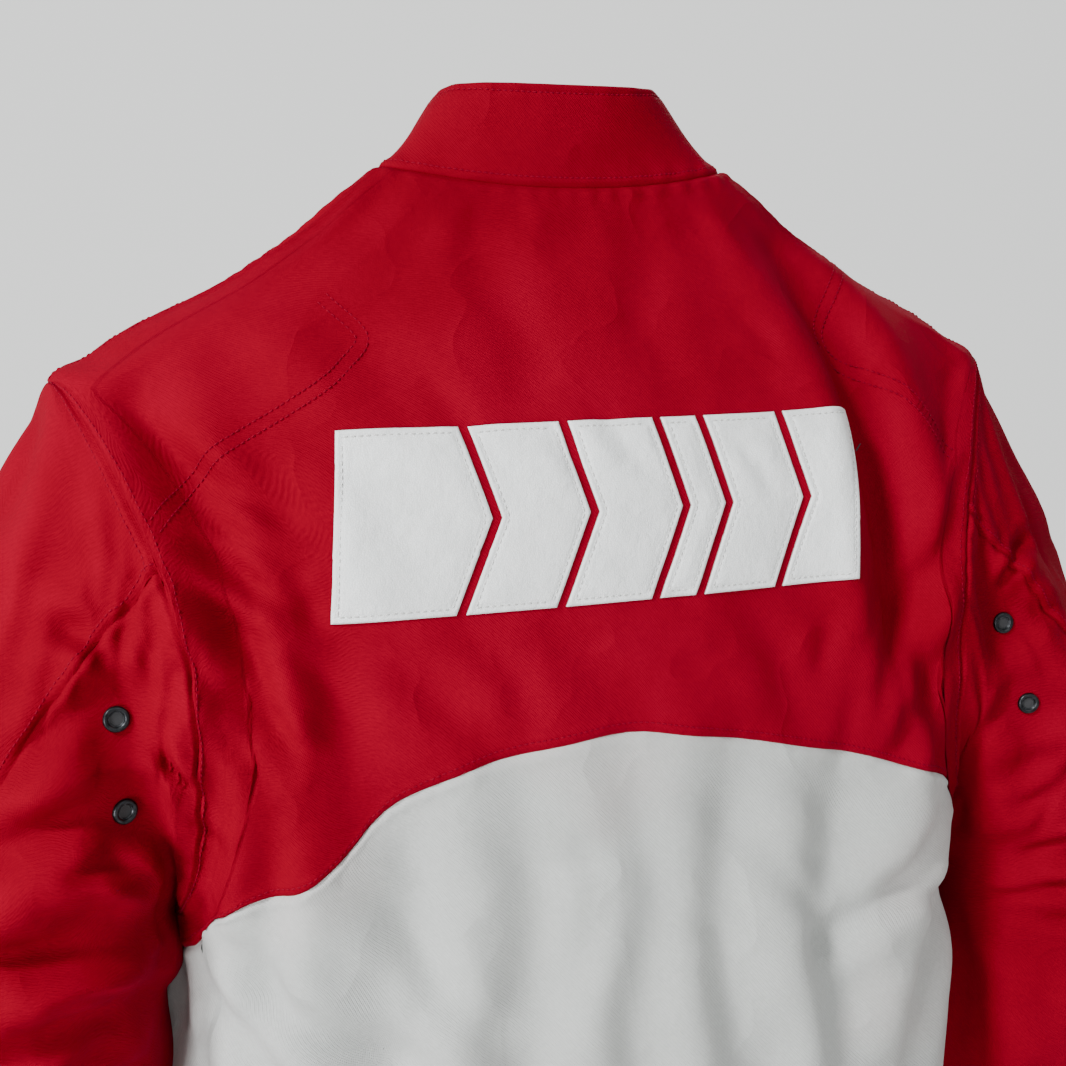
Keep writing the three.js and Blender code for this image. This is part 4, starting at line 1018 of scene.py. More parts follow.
def weave_lines(shader, pitch):
    """Height of a plain canvas weave with a faint twill line, from the cloth's own flat map in metres."""
    flat = shader.add("ShaderNodeUVMap", uv_map=WEAVE).outputs["UV"]
    parts = shader.add("ShaderNodeSeparateXYZ", {0: flat})
    turns = 2 * math.pi / pitch
    wobble = shader.math("MULTIPLY", shader.noise(900, 2), 1.6)

    def threads(along, share):
        return shader.math("SINE", shader.math("ADD", shader.math("MULTIPLY", along, turns * share), wobble))

    warp, weft = threads(parts.outputs[0], 1.0), threads(parts.outputs[1], 0.8)
    slant = shader.math("ADD", parts.outputs[0], parts.outputs[1])
    twill = shader.math("SINE", shader.math("MULTIPLY", slant, turns * 0.5))
    both = shader.math("MULTIPLY", warp, weft)
    return shader.math("MULTIPLY_ADD", twill, 0.6, both)


def canvas(name, slot, dark, middle, light, sheen, stain=None):
    shader = Shader(name, slot, 0.8, Sheen_Weight=sheen, Sheen_Roughness=0.45, Specular_IOR_Level=0.03)
    broad = shader.noise(5.0, 4, rough=0.6)
    flecks = shader.noise(420, 3, rough=0.7)
    weave = weave_lines(shader, CANVAS_PITCH)
    base = shader.ramp(broad, (0.3, dark), (0.5, middle), (0.72, light))
    worn = shader.ramp(flecks, (0.3, (0.82, 0.82, 0.82)), (0.7, (1.0, 1.0, 1.0)))
    crossing = shader.math("MULTIPLY_ADD", weave, 0.3, 0.5)
    threads = shader.ramp(crossing, (0.1, (0.8, 0.8, 0.8)), (0.9, (1.0, 1.0, 1.0)))
    cloth = shader.mix(0.55, shader.mix(0.6, base, worn, "MULTIPLY"), threads, "MULTIPLY")
    if stain:
        patches = shader.ramp(shader.noise(7.5, 2), (0.56, (0, 0, 0)), (0.74, (1, 1, 1)))
        cloth = shader.mix(shader.math("MULTIPLY", patches, 0.22), cloth, stain)
    shader.colour(cloth)
    shader.roughness(flecks, 0.72, 0.92)
    spread = shader.math("ABSOLUTE", shader.math("SUBTRACT", shader.noise(16, 2, rough=0.4), 0.5))
    creases = shader.math("POWER", shader.math("SUBTRACT", 1.0, shader.math("MULTIPLY", spread, 4.0)), 5.0)
    shader.bump(creases, 0.0016, 0.35)
    shader.bump(shader.noise(60, 3), 0.0009, 0.6)
    shader.bump(weave, 0.00012, 0.7)
    return shader


def red_canvas():
    return canvas("red_canvas", "red_shell", (0.19, 0.0, 0.009), (0.235, 0.0, 0.012), (0.28, 0.0, 0.016), 0.0)


def white_canvas():
    dark, middle, light = (0.49, 0.51, 0.50), (0.55, 0.565, 0.555), (0.60, 0.615, 0.60)
    return canvas("white_canvas", "white_shell", dark, middle, light, 0.04, stain=(0.56, 0.4, 0.4))


def leather():
    shader = Shader("white_leather", "leather_badge", 0.42, Specular_IOR_Level=0.45, Coat_Weight=0.06,
                    Coat_Roughness=0.35)
    cells = shader.cells(900.0, feature="DISTANCE_TO_EDGE")
    creases = shader.noise(110, 5, rough=0.65)
    soil = shader.noise(26, 4, rough=0.6)
    base = shader.ramp(soil, (0.3, (0.84, 0.86, 0.86)), (0.55, (0.92, 0.94, 0.94)), (0.8, (0.96, 0.97, 0.97)))
    grain = shader.ramp(cells, (0.0, (0.78, 0.79, 0.79)), (0.12, (1, 1, 1)))
    shader.colour(shader.mix(0.6, base, grain, "MULTIPLY"))
    shader.roughness(creases, 0.34, 0.58)
    shader.bump(shader.noise(34, 4, rough=0.6), 0.0035, 0.55)
    shader.bump(creases, 0.0012, 0.6)
    shader.bump(shader.ramp(cells, (0.0, (0, 0, 0)), (0.2, (1, 1, 1))), 0.00012, 0.8)
    return shader


def leather_edge():
    shader = Shader("leather_cut_edge", "leather_badge", 0.85)
    fibres = shader.noise(1500, 3)
    shader.colour(shader.ramp(fibres, (0.3, (0.2, 0.2, 0.2)), (0.7, (0.4, 0.4, 0.39))))
    shader.bump(fibres, 0.0002, 0.8)
    return shader


def lining_cloth():
    shader = Shader("black_lining", "lining", 0.62, Sheen_Weight=0.15, Sheen_Roughness=0.35)
    weave = weave_lines(shader, LINING_PITCH)
    broad = shader.noise(12, 3)
    shader.colour(shader.ramp(broad, (0.3, (0.012, 0.012, 0.014)), (0.7, (0.024, 0.024, 0.027))))
    shader.roughness(broad, 0.5, 0.7)
    shader.bump(shader.noise(45, 3), 0.0008, 0.5)
    shader.bump(weave, 0.0001, 0.7)
    return shader


def foam():
    shader = Shader("pad_foam", "foam", 0.95)
    pores = shader.cells(700.0)
    shader.colour(shader.ramp(pores, (0.1, (0.02, 0.02, 0.022)), (0.6, (0.055, 0.055, 0.06))))
    shader.bump(pores, 0.0004, 0.8)
    return shader


def thread(name, slot, low, high):
    shader = Shader(name, slot, 0.75, Specular_IOR_Level=0.1)
    twist = shader.ribs(shader.object_space(), 700.0, 2.0, "DIAGONAL")
    shader.colour(shader.ramp(twist, (0.1, low), (0.9, high)))
    shader.bump(twist, 0.0001, 0.8)
    return shader


def tape_cloth():
    shader = Shader("woven_tape", "zip_tape", 0.8, Sheen_Weight=0.1)
    flat = shader.add("ShaderNodeUVMap", uv_map=WEAVE).outputs["UV"]
    ribs = shader.ribs(flat, 500.0, 0.6, "DIAGONAL")
    shader.colour(shader.ramp(ribs, (0.1, (0.010, 0.010, 0.011)), (0.9, (0.032, 0.032, 0.034))))
    shader.bump(ribs, 0.0002, 0.8)
    return shader


def metal(name, slot, dark, light, rough_low, rough_high):
    shader = Shader(name, slot, rough_low, Metallic=1.0)
    wear = shader.noise(320, 5, rough=0.65)
    scratches = shader.noise(90, 4, vector=shader.stretched(shader.object_space(), (1.0, 1.0, 22.0)))
    shader.colour(shader.ramp(wear, (0.35, dark), (0.7, light)))
    shader.roughness(scratches, rough_low, rough_high)
    shader.bump(scratches, 0.00006, 0.6)
    return shader


def webbing():
    shader = Shader("black_webbing", "webbing", 0.75, Sheen_Weight=0.15)
    ribs = shader.ribs(shader.object_space(), 380.0, 1.0, "X")
    fuzz = shader.noise(900, 3)
    shader.colour(shader.ramp(shader.math("MULTIPLY", ribs, fuzz), (0.1, (0.008, 0.008, 0.009)),
                              (0.6, (0.03, 0.03, 0.032))))
    shader.bump(ribs, 0.0003, 0.9)
    return shader


RED, WHITE, LEATHER, CUT_EDGE = red_canvas(), white_canvas(), leather(), leather_edge()
LINING, FOAM, TAPE, WEBBING = lining_cloth(), foam(), tape_cloth(), webbing()
RED_THREAD = thread("red_thread", "red_shell", (0.17, 0.0, 0.010), (0.24, 0.0, 0.016))
WHITE_THREAD = thread("white_thread", "leather_badge", (0.5, 0.5, 0.49), (0.8, 0.8, 0.78))
GUNMETAL = metal("gunmetal", "hardware", (0.018, 0.019, 0.021), (0.06, 0.062, 0.068), 0.28, 0.5)
BARE_RING = metal("worn_inner_ring", "hardware", (0.12, 0.13, 0.14), (0.32, 0.34, 0.36), 0.25, 0.45)
TEETH = metal("zip_metal", "zip_teeth", (0.22, 0.225, 0.235), (0.46, 0.47, 0.48), 0.3, 0.5)


# ---- Meshes -------------------------------------------------------------------------------------------


def make(name, vertices, faces, shader, flat=None, sharp=50, extra=(), extra_faces=None):
    """A mesh object from places in millimetres. flat holds each vertex's place on the flat cloth, in mm."""
    mesh = bpy.data.meshes.new(name)
    mesh.from_pydata([tuple(v) for v in np.asarray(vertices) * METRES], [], faces)
    mesh.materials.append(shader.material)
    for other in extra:
        mesh.materials.append(other.material)
    if extra_faces is not None:
        mesh.polygons.foreach_set("material_index", np.asarray(extra_faces, np.int32))
    if flat is not None:
        layer = mesh.uv_layers.new(name=WEAVE)
        corners = np.empty(len(mesh.loops), np.int32)
        mesh.loops.foreach_get("vertex_index", corners)
        layer.data.foreach_set("uv", (np.asarray(flat)[corners] * METRES).astype(np.float32).ravel())
    mesh.shade_smooth()
    mesh.set_sharp_from_angle(angle=math.radians(sharp))
    mesh.update()
    piece = bpy.data.objects.new(name, mesh)
    bpy.context.scene.collection.objects.link(piece)
    return piece


def flat_map(points):
    """Distances along and up the cloth, measured on it from its middle column and bottom row."""
    across = np.linalg.norm(np.diff(points, axis=1), axis=2)
    across = np.concatenate([np.zeros((len(points), 1)), np.cumsum(across, axis=1)], axis=1)
    across = across - across[:, points.shape[1] // 2][:, None]
    up = np.linalg.norm(np.diff(points, axis=0), axis=2)
    up = np.concatenate([np.zeros((1, points.shape[1])), np.cumsum(up, axis=0)], axis=0)
    return np.stack([across, up], -1)


def shell(name, outer, inner, shader, loop=False, flip=False, sharp=50):
    """A closed sheet between two grids of places."""
    rows, columns = outer.shape[:2]
    numbers = np.arange(rows * columns).reshape(rows, columns)
    front = grid_faces(numbers, loop)
    back = [face[::-1] for face in grid_faces(numbers + rows * columns, loop)]
    rims = []
    edges = [numbers[0], numbers[-1][::-1]]
    if loop:
        edges = [np.append(numbers[0], numbers[0][0]), np.append(numbers[-1], numbers[-1][0])[::-1]]
    else:
        edges += [numbers[::-1, 0], numbers[:, -1]]
    for edge in edges:
        for a, b in zip(edge[:-1], edge[1:]):
            a, b = int(a), int(b)
            rims.append((b, a, a + rows * columns, b + rows * columns))
    faces = front + back + rims
    if flip:
        faces = [face[::-1] for face in faces]
    flat = flat_map(outer).reshape(-1, 2)
    vertices = np.concatenate([outer.reshape(-1, 3), inner.reshape(-1, 3)])
    return make(name, vertices, faces, shader, flat=np.concatenate([flat, flat]), sharp=sharp)


# ---- Panels -------------------------------------------------------------------------------------------

GRID = 3.4                      # usual spacing of a panel's grid
TOPSTITCH = 5.0                 # from a seam to the line of stitches beside it
HEM_STITCH = 22.0               # from the hem to its line of stitches
DOUBLE_GAP = 6.0                # between two rows of stitches
PANELS = {}                     # places, facings and flat map of each piece of cloth, by its name


def marks(length, spacing=GRID, low=True, high=True):
    """Shares along a panel, closer together beside its seams."""
    near = [0.0, 0.9, 2.0, 3.2, 4.2, 5.0, 5.8, 7.0, 9.0]
    start = near if low else [0.0]
    end = near if high else [0.0]
    count = max(3, int((length - start[-1] - end[-1]) / spacing))
    middle = np.linspace(start[-1], length - end[-1], count + 1)
    places = np.concatenate([start[:-1], middle, length - np.array(end[:-1])[::-1]])
    return np.clip(places / length, 0, 1)


def bell(away, width):
    """1 on a line and falling away on both sides of it."""
    return np.exp(-(away / width) ** 2)


def edge_relief(kind, away, along):
    """Height of the cloth beside an edge: a sewn groove, the turned edge, and the pull of stitches."""
    if kind is None:
        return 0 * away
    pull = np.sin(along * 2 * math.pi / 13 + 1.9 * np.sin(along / 19)) * (1 + 0.5 * np.sin(along / 31))
    if kind == "hem":
        height = 0.7 * smooth((HEM_STITCH + 2 - away) / 3) - 1.0 * bell(away, 1.2)
        height = height - 0.6 * bell(away - HEM_STITCH, 1.0)
        return height + 0.4 * pull * bell(away - HEM_STITCH, 7)
    groove, turned_edge = -1.2 * bell(away, 1.7), 0.55 * bell(away - 4.0, 3.4)
    height = groove + turned_edge + 0.34 * pull * bell(away - TOPSTITCH, 5.5)
    if kind == "stitched":
        height = height - 0.5 * bell(away - TOPSTITCH, 0.8)
    return height


def panel(name, patch, share, level, shader, edges, lines=()):
    """A cloth panel over part of a patch. edges names the kinds of its left, right, bottom and top edges."""
    points, normals = patch.place(share, level), patch.normal(share, level)
    flat = flat_map(points)
    along, up = flat[..., 0], flat[..., 1]
    left, right, bottom, top = edges
    height = edge_relief(left, along - along[:, :1], up)
    height = height + edge_relief(right, along[:, -1:] - along, up + 7)
    height = height + edge_relief(bottom, up, along)
    height = height + edge_relief(top, up[-1:] - up, along + 5)
    for line in lines:
        away, _ = line_distance(points, line)
        height = height - 0.6 * bell(away, 1.6) + 0.3 * bell(away - 4, 3)
    outer = points + normals * height[..., None]
    inner = outer - normals * CLOTH
    piece = shell(name, outer, inner, shader, flip=patch.flip)
    PANELS[name] = (outer, normals, flat)
    return piece


def inset_line(name, side, away, start=0.0, end=1.0):
    """The line on a panel that keeps a distance from one of its edges, as places and normals."""
    outer, normals, flat = PANELS[name]
    if side in ("left", "right"):
        gone = flat[..., 0] - flat[:, :1, 0]
        total = gone[:, -1]
        at = np.full(len(gone), away) if side == "left" else total - away
        rows = range(len(gone))
        places = [[np.interp(at[r], gone[r], outer[r, :, k]) for k in range(3)] for r in rows]
        facing = [[np.interp(at[r], gone[r], normals[r, :, k]) for k in range(3)] for r in rows]
    else:
        gone = flat[..., 1]
        total = gone[-1]
        at = np.full(gone.shape[1], away) if side == "bottom" else total - away
        columns = range(gone.shape[1])
        places = [[np.interp(at[c], gone[:, c], outer[:, c, k]) for k in range(3)] for c in columns]
        facing = [[np.interp(at[c], gone[:, c], normals[:, c, k]) for k in range(3)] for c in columns]
    places, facing = np.array(places), unit(np.array(facing))
    low, high = int(start * (len(places) - 1)), int(end * (len(places) - 1)) + 1
    return places[low:high], facing[low:high]


def stitches(name, lines, shader, pitch=3.1, length=2.3, radius=0.34, sides=5):
    """Rows of single stitches: each is a short thread that rises from the cloth and dives back into it."""
    rings = np.array([0.0, 0.22, 0.5, 0.78, 1.0])
    lift = np.array([-0.5, 0.35, 0.6, 0.35, -0.5]) * radius
    girth = np.array([0.55, 1.0, 1.05, 1.0, 0.55]) * radius
    vertices, faces = [], []
    for places, facing in lines:
        reach = np.concatenate([[0], np.cumsum(np.linalg.norm(np.diff(places, axis=0), axis=1))])
        count = int((reach[-1] - 1) / pitch)
        for k in range(count):
            at = 0.5 + k * pitch + rings * length
            spot = np.stack([np.interp(at, reach, places[:, c]) for c in range(3)], -1)
            out = unit(np.stack([np.interp(at, reach, facing[:, c]) for c in range(3)], -1))
            ahead = unit(spot[-1] - spot[0])
            side = unit(np.cross(ahead, out))
            base = len(vertices)
            for r in range(len(rings)):
                middle = spot[r] + out[r] * lift[r]
                for s in range(sides):
                    turn = 2 * math.pi * s / sides
                    vertices.append(middle + girth[r] * (math.cos(turn) * side[r] + math.sin(turn) * out[r]))
            for r in range(len(rings) - 1):
                for s in range(sides):
                    a, b = base + r * sides + s, base + r * sides + (s + 1) % sides
                    faces.append((b, a, a + sides, b + sides))
            faces.append(tuple(base + s for s in range(sides)))
            last = base + (len(rings) - 1) * sides
            faces.append(tuple(last + sides - 1 - s for s in range(sides)))
    return make(name, np.array(vertices), faces, shader, sharp=80)


# ---- Trunk --------------------------------------------------------------------------------------------

SEAM_DROP_LEFT = [(-40, 296), (0, 291), (40, 294), (80, 300), (118, 314), (142, 337), (160, 351), (187, 362),
                  (206, 398), (230, 420)]
SEAM_DROP_RIGHT = [(-40, 296), (0, 291), (37, 297), (71, 304), (96, 310), (130, 320), (155, 331), (190, 352),
                   (206, 389), (230, 410)]
SEAM_DROP_FRONT = [(-20, 335), (6, 335), (75, 338), (150, 352), (190, 374), (206, 389), (230, 410)]


def seam_height(table, x):
    curve = through(table, np.linspace(0, len(table) - 1, 90))
    return -np.interp(np.abs(x), curve[:, 0], curve[:, 1])


def back_seam_height(x):
    return np.where(x > 0, seam_height(SEAM_DROP_LEFT, x), seam_height(SEAM_DROP_RIGHT, x))


def seam_level(patch, share, height_at):
    def below(level):
        place = patch.trim_place(share, level)
        return place[..., 2] < height_at(place[..., 0])
    return bisect(np.full(share.shape, 2.0), np.full(share.shape, 4.6), below, 24)


def upper_levels(seam, nominal):
    """Levels of a panel above the seam: its rows straighten out towards the shoulders."""
    start = seam[0]
    lean = 1 - smooth((nominal - start) / (TIP - start))
    return nominal[:, None] + (seam - start)[None, :] * lean[:, None]


def lower_levels(seam, nominal):
    lean = smooth(nominal / seam[0])
    return nominal[:, None] + (seam - seam[0])[None, :] * lean[:, None]


def split_marks(low, high, corners, millimetres):
    """Rows of levels with one exactly at each corner, closer together at both ends."""
    stops = [low, *corners, high]
    rows = []
    for k in range(len(stops) - 1):
        span = (stops[k + 1] - stops[k]) * millimetres
        part = mix(stops[k], stops[k + 1], marks(span, low=k == 0, high=k == len(stops) - 2))
        rows.append(part if k == 0 else part[1:])
    return np.concatenate(rows)


def shoulder_patch_lines():
    """Two rows of stitches, 6 mm apart, that outline the doubled cloth over each shoulder."""
    left = back_line((134, -62), (116, -84), (127, -101), (140, -113), (160, -124), (182, -137), (202, -153),
                     (219, -178))
    right = back_line((-172, -44), (-154, -62), (-142, -84), (-147, -100), (-168, -116), (-190, -134),
                      (-214, -166))
    lines = []
    for line in (left, right):
        smooth_line = through(line, np.linspace(0, len(line) - 1, 90))
        lines.append(smooth_line)
        ahead = unit(np.gradient(smooth_line, axis=0))
        beside = unit(np.cross(ahead, [0, 1, 0]))
        towards_arm = np.sign(beside[:, :1] + 1e-6) * np.sign(smooth_line[:, :1])
        lines.append(smooth_line + beside * towards_arm * DOUBLE_GAP)
    return lines


def back_share(points):
    """Share and level on the back patch of places given in the frame."""
    angle, level = back_place(points[:, 0], points[:, 2])
    return bisect(0 * angle, 0 * angle + 1, lambda share: back_angle(share, level) < angle), level


def on_back(points, lift=0.0):
    share, level = back_share(points)
    share = np.clip(share, 0, 1)
    facing = BACK.normal(share, level)
    return BACK.place(share, level) + facing * lift, facing


def make_back():
    share = marks(455)
    seam = seam_level(BACK, share, back_seam_height)
    rows = split_marks(seam[0], NECK, [UNDERARM, TIP], 108)
    grid, _ = np.meshgrid(share, rows)
    patch_lines = shoulder_patch_lines()
    drawn = [on_back(line)[0] for line in patch_lines]
    yoke = panel("back_yoke_cloth", BACK, grid, upper_levels(seam, rows), RED,
                 ("seam", "seam", "stitched", "seam"), lines=drawn)
    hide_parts("back_yoke")
    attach(yoke, "torso")
    rows = split_marks(0, seam[0], [], 98)
    grid, _ = np.meshgrid(share, rows)
    lower = panel("back_lower_cloth", BACK, grid, lower_levels(seam, rows), WHITE,
                  ("seam", "seam", "hem", "seam"))
    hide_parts("back_lower_panel")
    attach(lower, "torso")
    lines = [inset_line("back_yoke_cloth", "bottom", TOPSTITCH)]
    lines += [on_back(line, 0.1) for line in patch_lines]
    lines += [inset_line("back_yoke_cloth", side, TOPSTITCH, 0.0, 0.7) for side in ("left", "right")]
    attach(stitches("back_yoke_stitching", lines, RED_THREAD), "torso")
    hem = [inset_line("back_lower_cloth", "bottom", HEM_STITCH)]
    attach(stitches("back_hem_stitching", hem, WHITE_THREAD), "torso")


def make_fronts():
    for sign, side in ((1, "left"), (-1, "right")):
        patch = FRONTS[sign]
        share = marks(225)
        seam = seam_level(patch, share, lambda x: seam_height(SEAM_DROP_FRONT, x))
        rows = split_marks(seam[0], NECK, [UNDERARM, TIP], 112)
        grid, _ = np.meshgrid(share, rows)
        upper = panel(f"{side}_front_upper_cloth", patch, grid, upper_levels(seam, rows), RED,
                      ("seam", "stitched", "stitched", "seam"))
        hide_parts(f"{side}_front_upper")
        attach(upper, "torso")
        rows = split_marks(0, seam[0], [], 98)
        grid, _ = np.meshgrid(share, rows)
        lower = panel(f"{side}_front_lower_cloth", patch, grid, lower_levels(seam, rows), WHITE,
                      ("seam", "stitched", "hem", "seam"))
        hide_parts(f"{side}_front_lower")
        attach(lower, "torso")
        red = [inset_line(f"{side}_front_upper_cloth", "bottom", TOPSTITCH),
               inset_line(f"{side}_front_upper_cloth", "right", TOPSTITCH)]
        white = [inset_line(f"{side}_front_lower_cloth", "right", TOPSTITCH),
                 inset_line(f"{side}_front_lower_cloth", "bottom", HEM_STITCH)]
        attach(stitches(f"{side}_front_red_stitching", red, RED_THREAD), "torso")
        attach(stitches(f"{side}_front_white_stitching", white, WHITE_THREAD), "torso")


# ---- Sleeves ------------------------------------------------------------------------------------------

SPLIT = 4.0                                # step where the cloth of the upper arm meets that of the forearm
SWING_ZONE = 48.0                          # depth beyond the armhole against which swing_whole measures where a piece lies
STIFF_ZONE = 1500.0          # a length for a stiff piece, which swing_whole works into a point that nothing uses


def seam_turn(step):
    """Turn of the visible back seam of the sleeve: out of the armhole, then down the back of the arm."""
    return np.radians(mix(48, 64, smooth(step + 1)) + 26 * smooth((step - 2.6) / 3.4))


def turn_share(turn, step):
    back = back_seam_turn(step)
    outer = BACK_SEAM_SHARE * (turn - FRONT_SEAM_TURN) / (back - FRONT_SEAM_TURN)
    rest = (turn - back) / (FRONT_SEAM_TURN + 2 * math.pi - back)
    return np.where(turn <= back, outer, BACK_SEAM_SHARE + (1 - BACK_SEAM_SHARE) * rest)


def sleeve_grid(outer_side, rows, columns):
    step = rows[:, None]
    back = turn_share(seam_turn(step), step)
    t = columns[None, :]
    share = mix(0.0, back, t) if outer_side else mix(back, 1.0, t)
    return share + 0 * step, step + 0 * t


def armhole(sign):
    """Middle of a filled armhole, and the way out of it."""
    fill = FILL_LEFT if sign > 0 else FILL_RIGHT
    return (ARM_CENTRE + ARM_OUT * fill) * [sign, 1, 1], ARM_OUT * [sign, 1, 1]


def swing(piece):
    """Bakes a sleeve piece's transform into its mesh; nothing is turned at the armhole."""
    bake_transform(piece)


def swing_whole(piece, sign, place):
    """Bakes a small stiff piece's transform into its mesh; how far its middle lies into the swing zone is
    worked out but not used, and the piece is not turned.
    """
    start, out = armhole(sign)
    share = float(np.clip((place - start) @ out / SWING_ZONE, 0, 1))
    start = place - out * share * STIFF_ZONE
    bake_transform(piece)


def bend(piece, sign, side):
    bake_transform(piece)


def make_sleeves():
    for sign, side in ((1, "left"), (-1, "right")):
        patch = SLEEVES[sign]
        upper_rows = mix(-1, SPLIT, marks(345, high=False))
        lower_rows = mix(SPLIT, CUFF, marks(195, low=False))
        for outer_side, word in ((True, "outer"), (False, "under")):
            columns = marks(250 if outer_side else 210)
            share, step = sleeve_grid(outer_side, upper_rows, columns)
            left = "stitched" if outer_side else "seam"
            edges = (left, "seam", "stitched", None)
            piece = panel(f"{side}_sleeve_{word}_cloth", patch, share, step, RED, edges)
            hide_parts(f"{side}_sleeve_{word}_upper")
            swing(piece)
            share, step = sleeve_grid(outer_side, lower_rows, columns)
            edges = (left, "seam", None, "seam")
            piece = panel(f"{side}_forearm_{word}_cloth", patch, share, step, RED, edges)
            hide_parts(f"{side}_sleeve_{word}_forearm")
            bend(piece, sign, side)
        upper = [inset_line(f"{side}_sleeve_outer_cloth", "right", TOPSTITCH),
                 inset_line(f"{side}_sleeve_outer_cloth", "bottom", TOPSTITCH),
                 inset_line(f"{side}_sleeve_outer_cloth", "left", TOPSTITCH)]
        swing(stitches(f"{side}_sleeve_stitching", upper, RED_THREAD))
        lower = [inset_line(f"{side}_forearm_outer_cloth", "right", TOPSTITCH),
                 inset_line(f"{side}_forearm_outer_cloth", "left", TOPSTITCH),
                 inset_line(f"{side}_forearm_outer_cloth", "top", TOPSTITCH),
                 inset_line(f"{side}_forearm_under_cloth", "top", TOPSTITCH)]
        bend(stitches(f"{side}_forearm_stitching", lower, RED_THREAD), sign, side)


# ---- Collar -------------------------------------------------------------------------------------------

COLLAR_THICK = 3.0
COLLAR_STITCH = 4.5             # from the collar's edge to its line of stitches


def rounded(away, radius):
    """Drop of a rolled edge below the cloth, as a share: 1 at the edge and 0 beyond the radius."""
    return 1 - np.sqrt(np.clip(1 - (1 - np.clip(away / radius, 0, 1)) ** 2, 0, 1))


def make_collar():
    """The stand collar is a doubled band: it goes up the outside, over its rolled top and down the inside."""
    share = marks(300, 2.6)
    rise = marks(50, 2.6)
    grid, level = np.meshgrid(share, mix(NECK, COLLAR_TOP, rise))
    points, normals = COLLAR.place(grid, level), COLLAR.normal(grid, level)
    flat = flat_map(points)
    top = flat[-1:, :, 1] - flat[..., 1]
    along = flat[..., 0]
    height = edge_relief("stitched", flat[..., 1], along)
    height = height - 0.55 * bell(top - COLLAR_STITCH, 0.9) + 0.3 * np.sin(along / 2.6) * bell(top - 4, 4)
    height = height - 1.4 * rounded(top, 1.6)
    height = height + 0.9 * np.sin(along / 37 + 1.0) * np.sin(flat[..., 1] / 24)
    outer = points + normals * height[..., None]
    inner_height = -COLLAR_THICK + 1.3 * rounded(top, 1.4)
    inner = points + normals * inner_height[..., None]
    band = shell("collar_cloth", outer, inner, RED, sharp=70)
    PANELS["collar_cloth"] = (outer, normals, flat)
    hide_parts("collar")
    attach(band, "torso")
    lines = [inset_line("collar_cloth", "top", COLLAR_STITCH),
             inset_line("collar_cloth", "bottom", TOPSTITCH)]
    lines += [inset_line("collar_cloth", edge_side, COLLAR_STITCH) for edge_side in ("left", "right")]
    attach(stitches("collar_stitching", lines, RED_THREAD), "torso")
    facing_rise = mix(NECK, COLLAR_TOP - 0.1, marks(44, 4))
    grid, level = np.meshgrid(marks(290, 5), facing_rise)
    points, normals = COLLAR.place(grid, level), COLLAR.normal(grid, level)
    near, far = points - normals * (COLLAR_THICK + 0.1), points - normals * (COLLAR_THICK + 1.2)
    lining = shell("collar_facing", near, far, RED, sharp=60)
    PANELS["collar_facing"] = (points, normals, flat_map(points))
    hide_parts("collar_lining")
    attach(lining, "torso")


# ---- Leather pieces -----------------------------------------------------------------------------------

BAND_START = 141.5              # where the band begins, to the left of the middle of the back
BAND_WIDTHS = (60, 46, 46, 20, 42, 44)
BAND_GAP = 5.0                  # red cloth between two pieces
BAND_HEIGHT = 92.0
BAND_DROP = 178.0               # from the neck down to the middle of the band
BAND_POINT = 17.0               # how far an arrow-shaped end juts out in its middle
BAND_SLANT = 9.0                # how far the band's top lies to the side of its bottom
LEATHER_THICK = 1.6
LEATHER_STITCH = 3.2            # from a cut edge to its line of stitches
POINT_LEAN = math.hypot(1, 2 * BAND_POINT / BAND_HEIGHT)       # an arrow's edge against its height


def band_place(along, up):
    """A place on the back from the distance along the band and the height above its middle."""
    x = BAND_START - along - up * BAND_SLANT / BAND_HEIGHT
    z = -BAND_DROP + up
    share, level = back_share(np.stack([x.ravel(), 0 * x.ravel(), z.ravel()], -1))
    share, level = share.reshape(x.shape), level.reshape(x.shape)
    return BACK.place(share, level), BACK.normal(share, level)


def arrow_out(up):
    """How far an arrow-shaped end juts out at a height above the band's middle."""
    return BAND_POINT * (1 - np.abs(2 * up / BAND_HEIGHT))


def badge_seams(start, width, first, last):
    """Lines of stitches inside the four edges of one piece, as distances along and up the band."""
    shares = np.linspace(0, 1, 60)
    half = BAND_HEIGHT / 2 - LEATHER_STITCH
    lines = []
    for level in (-1, 1):
        row = np.full(60, level * half)
        low = start + (0 if first else 1) * arrow_out(row) + LEATHER_STITCH
        high = start + width + (0 if last else 1) * arrow_out(row) - LEATHER_STITCH
        lines.append((mix(low, high, shares), row))
    column = mix(-half, half, shares)
    for edge_side, flat_end in ((0, first), (1, last)):
        inset = LEATHER_STITCH * (1 if flat_end else POINT_LEAN)
        edge = start + edge_side * width + (0 if flat_end else 1) * arrow_out(column)
        lines.append((edge + inset * (1 - 2 * edge_side), column))
    return lines


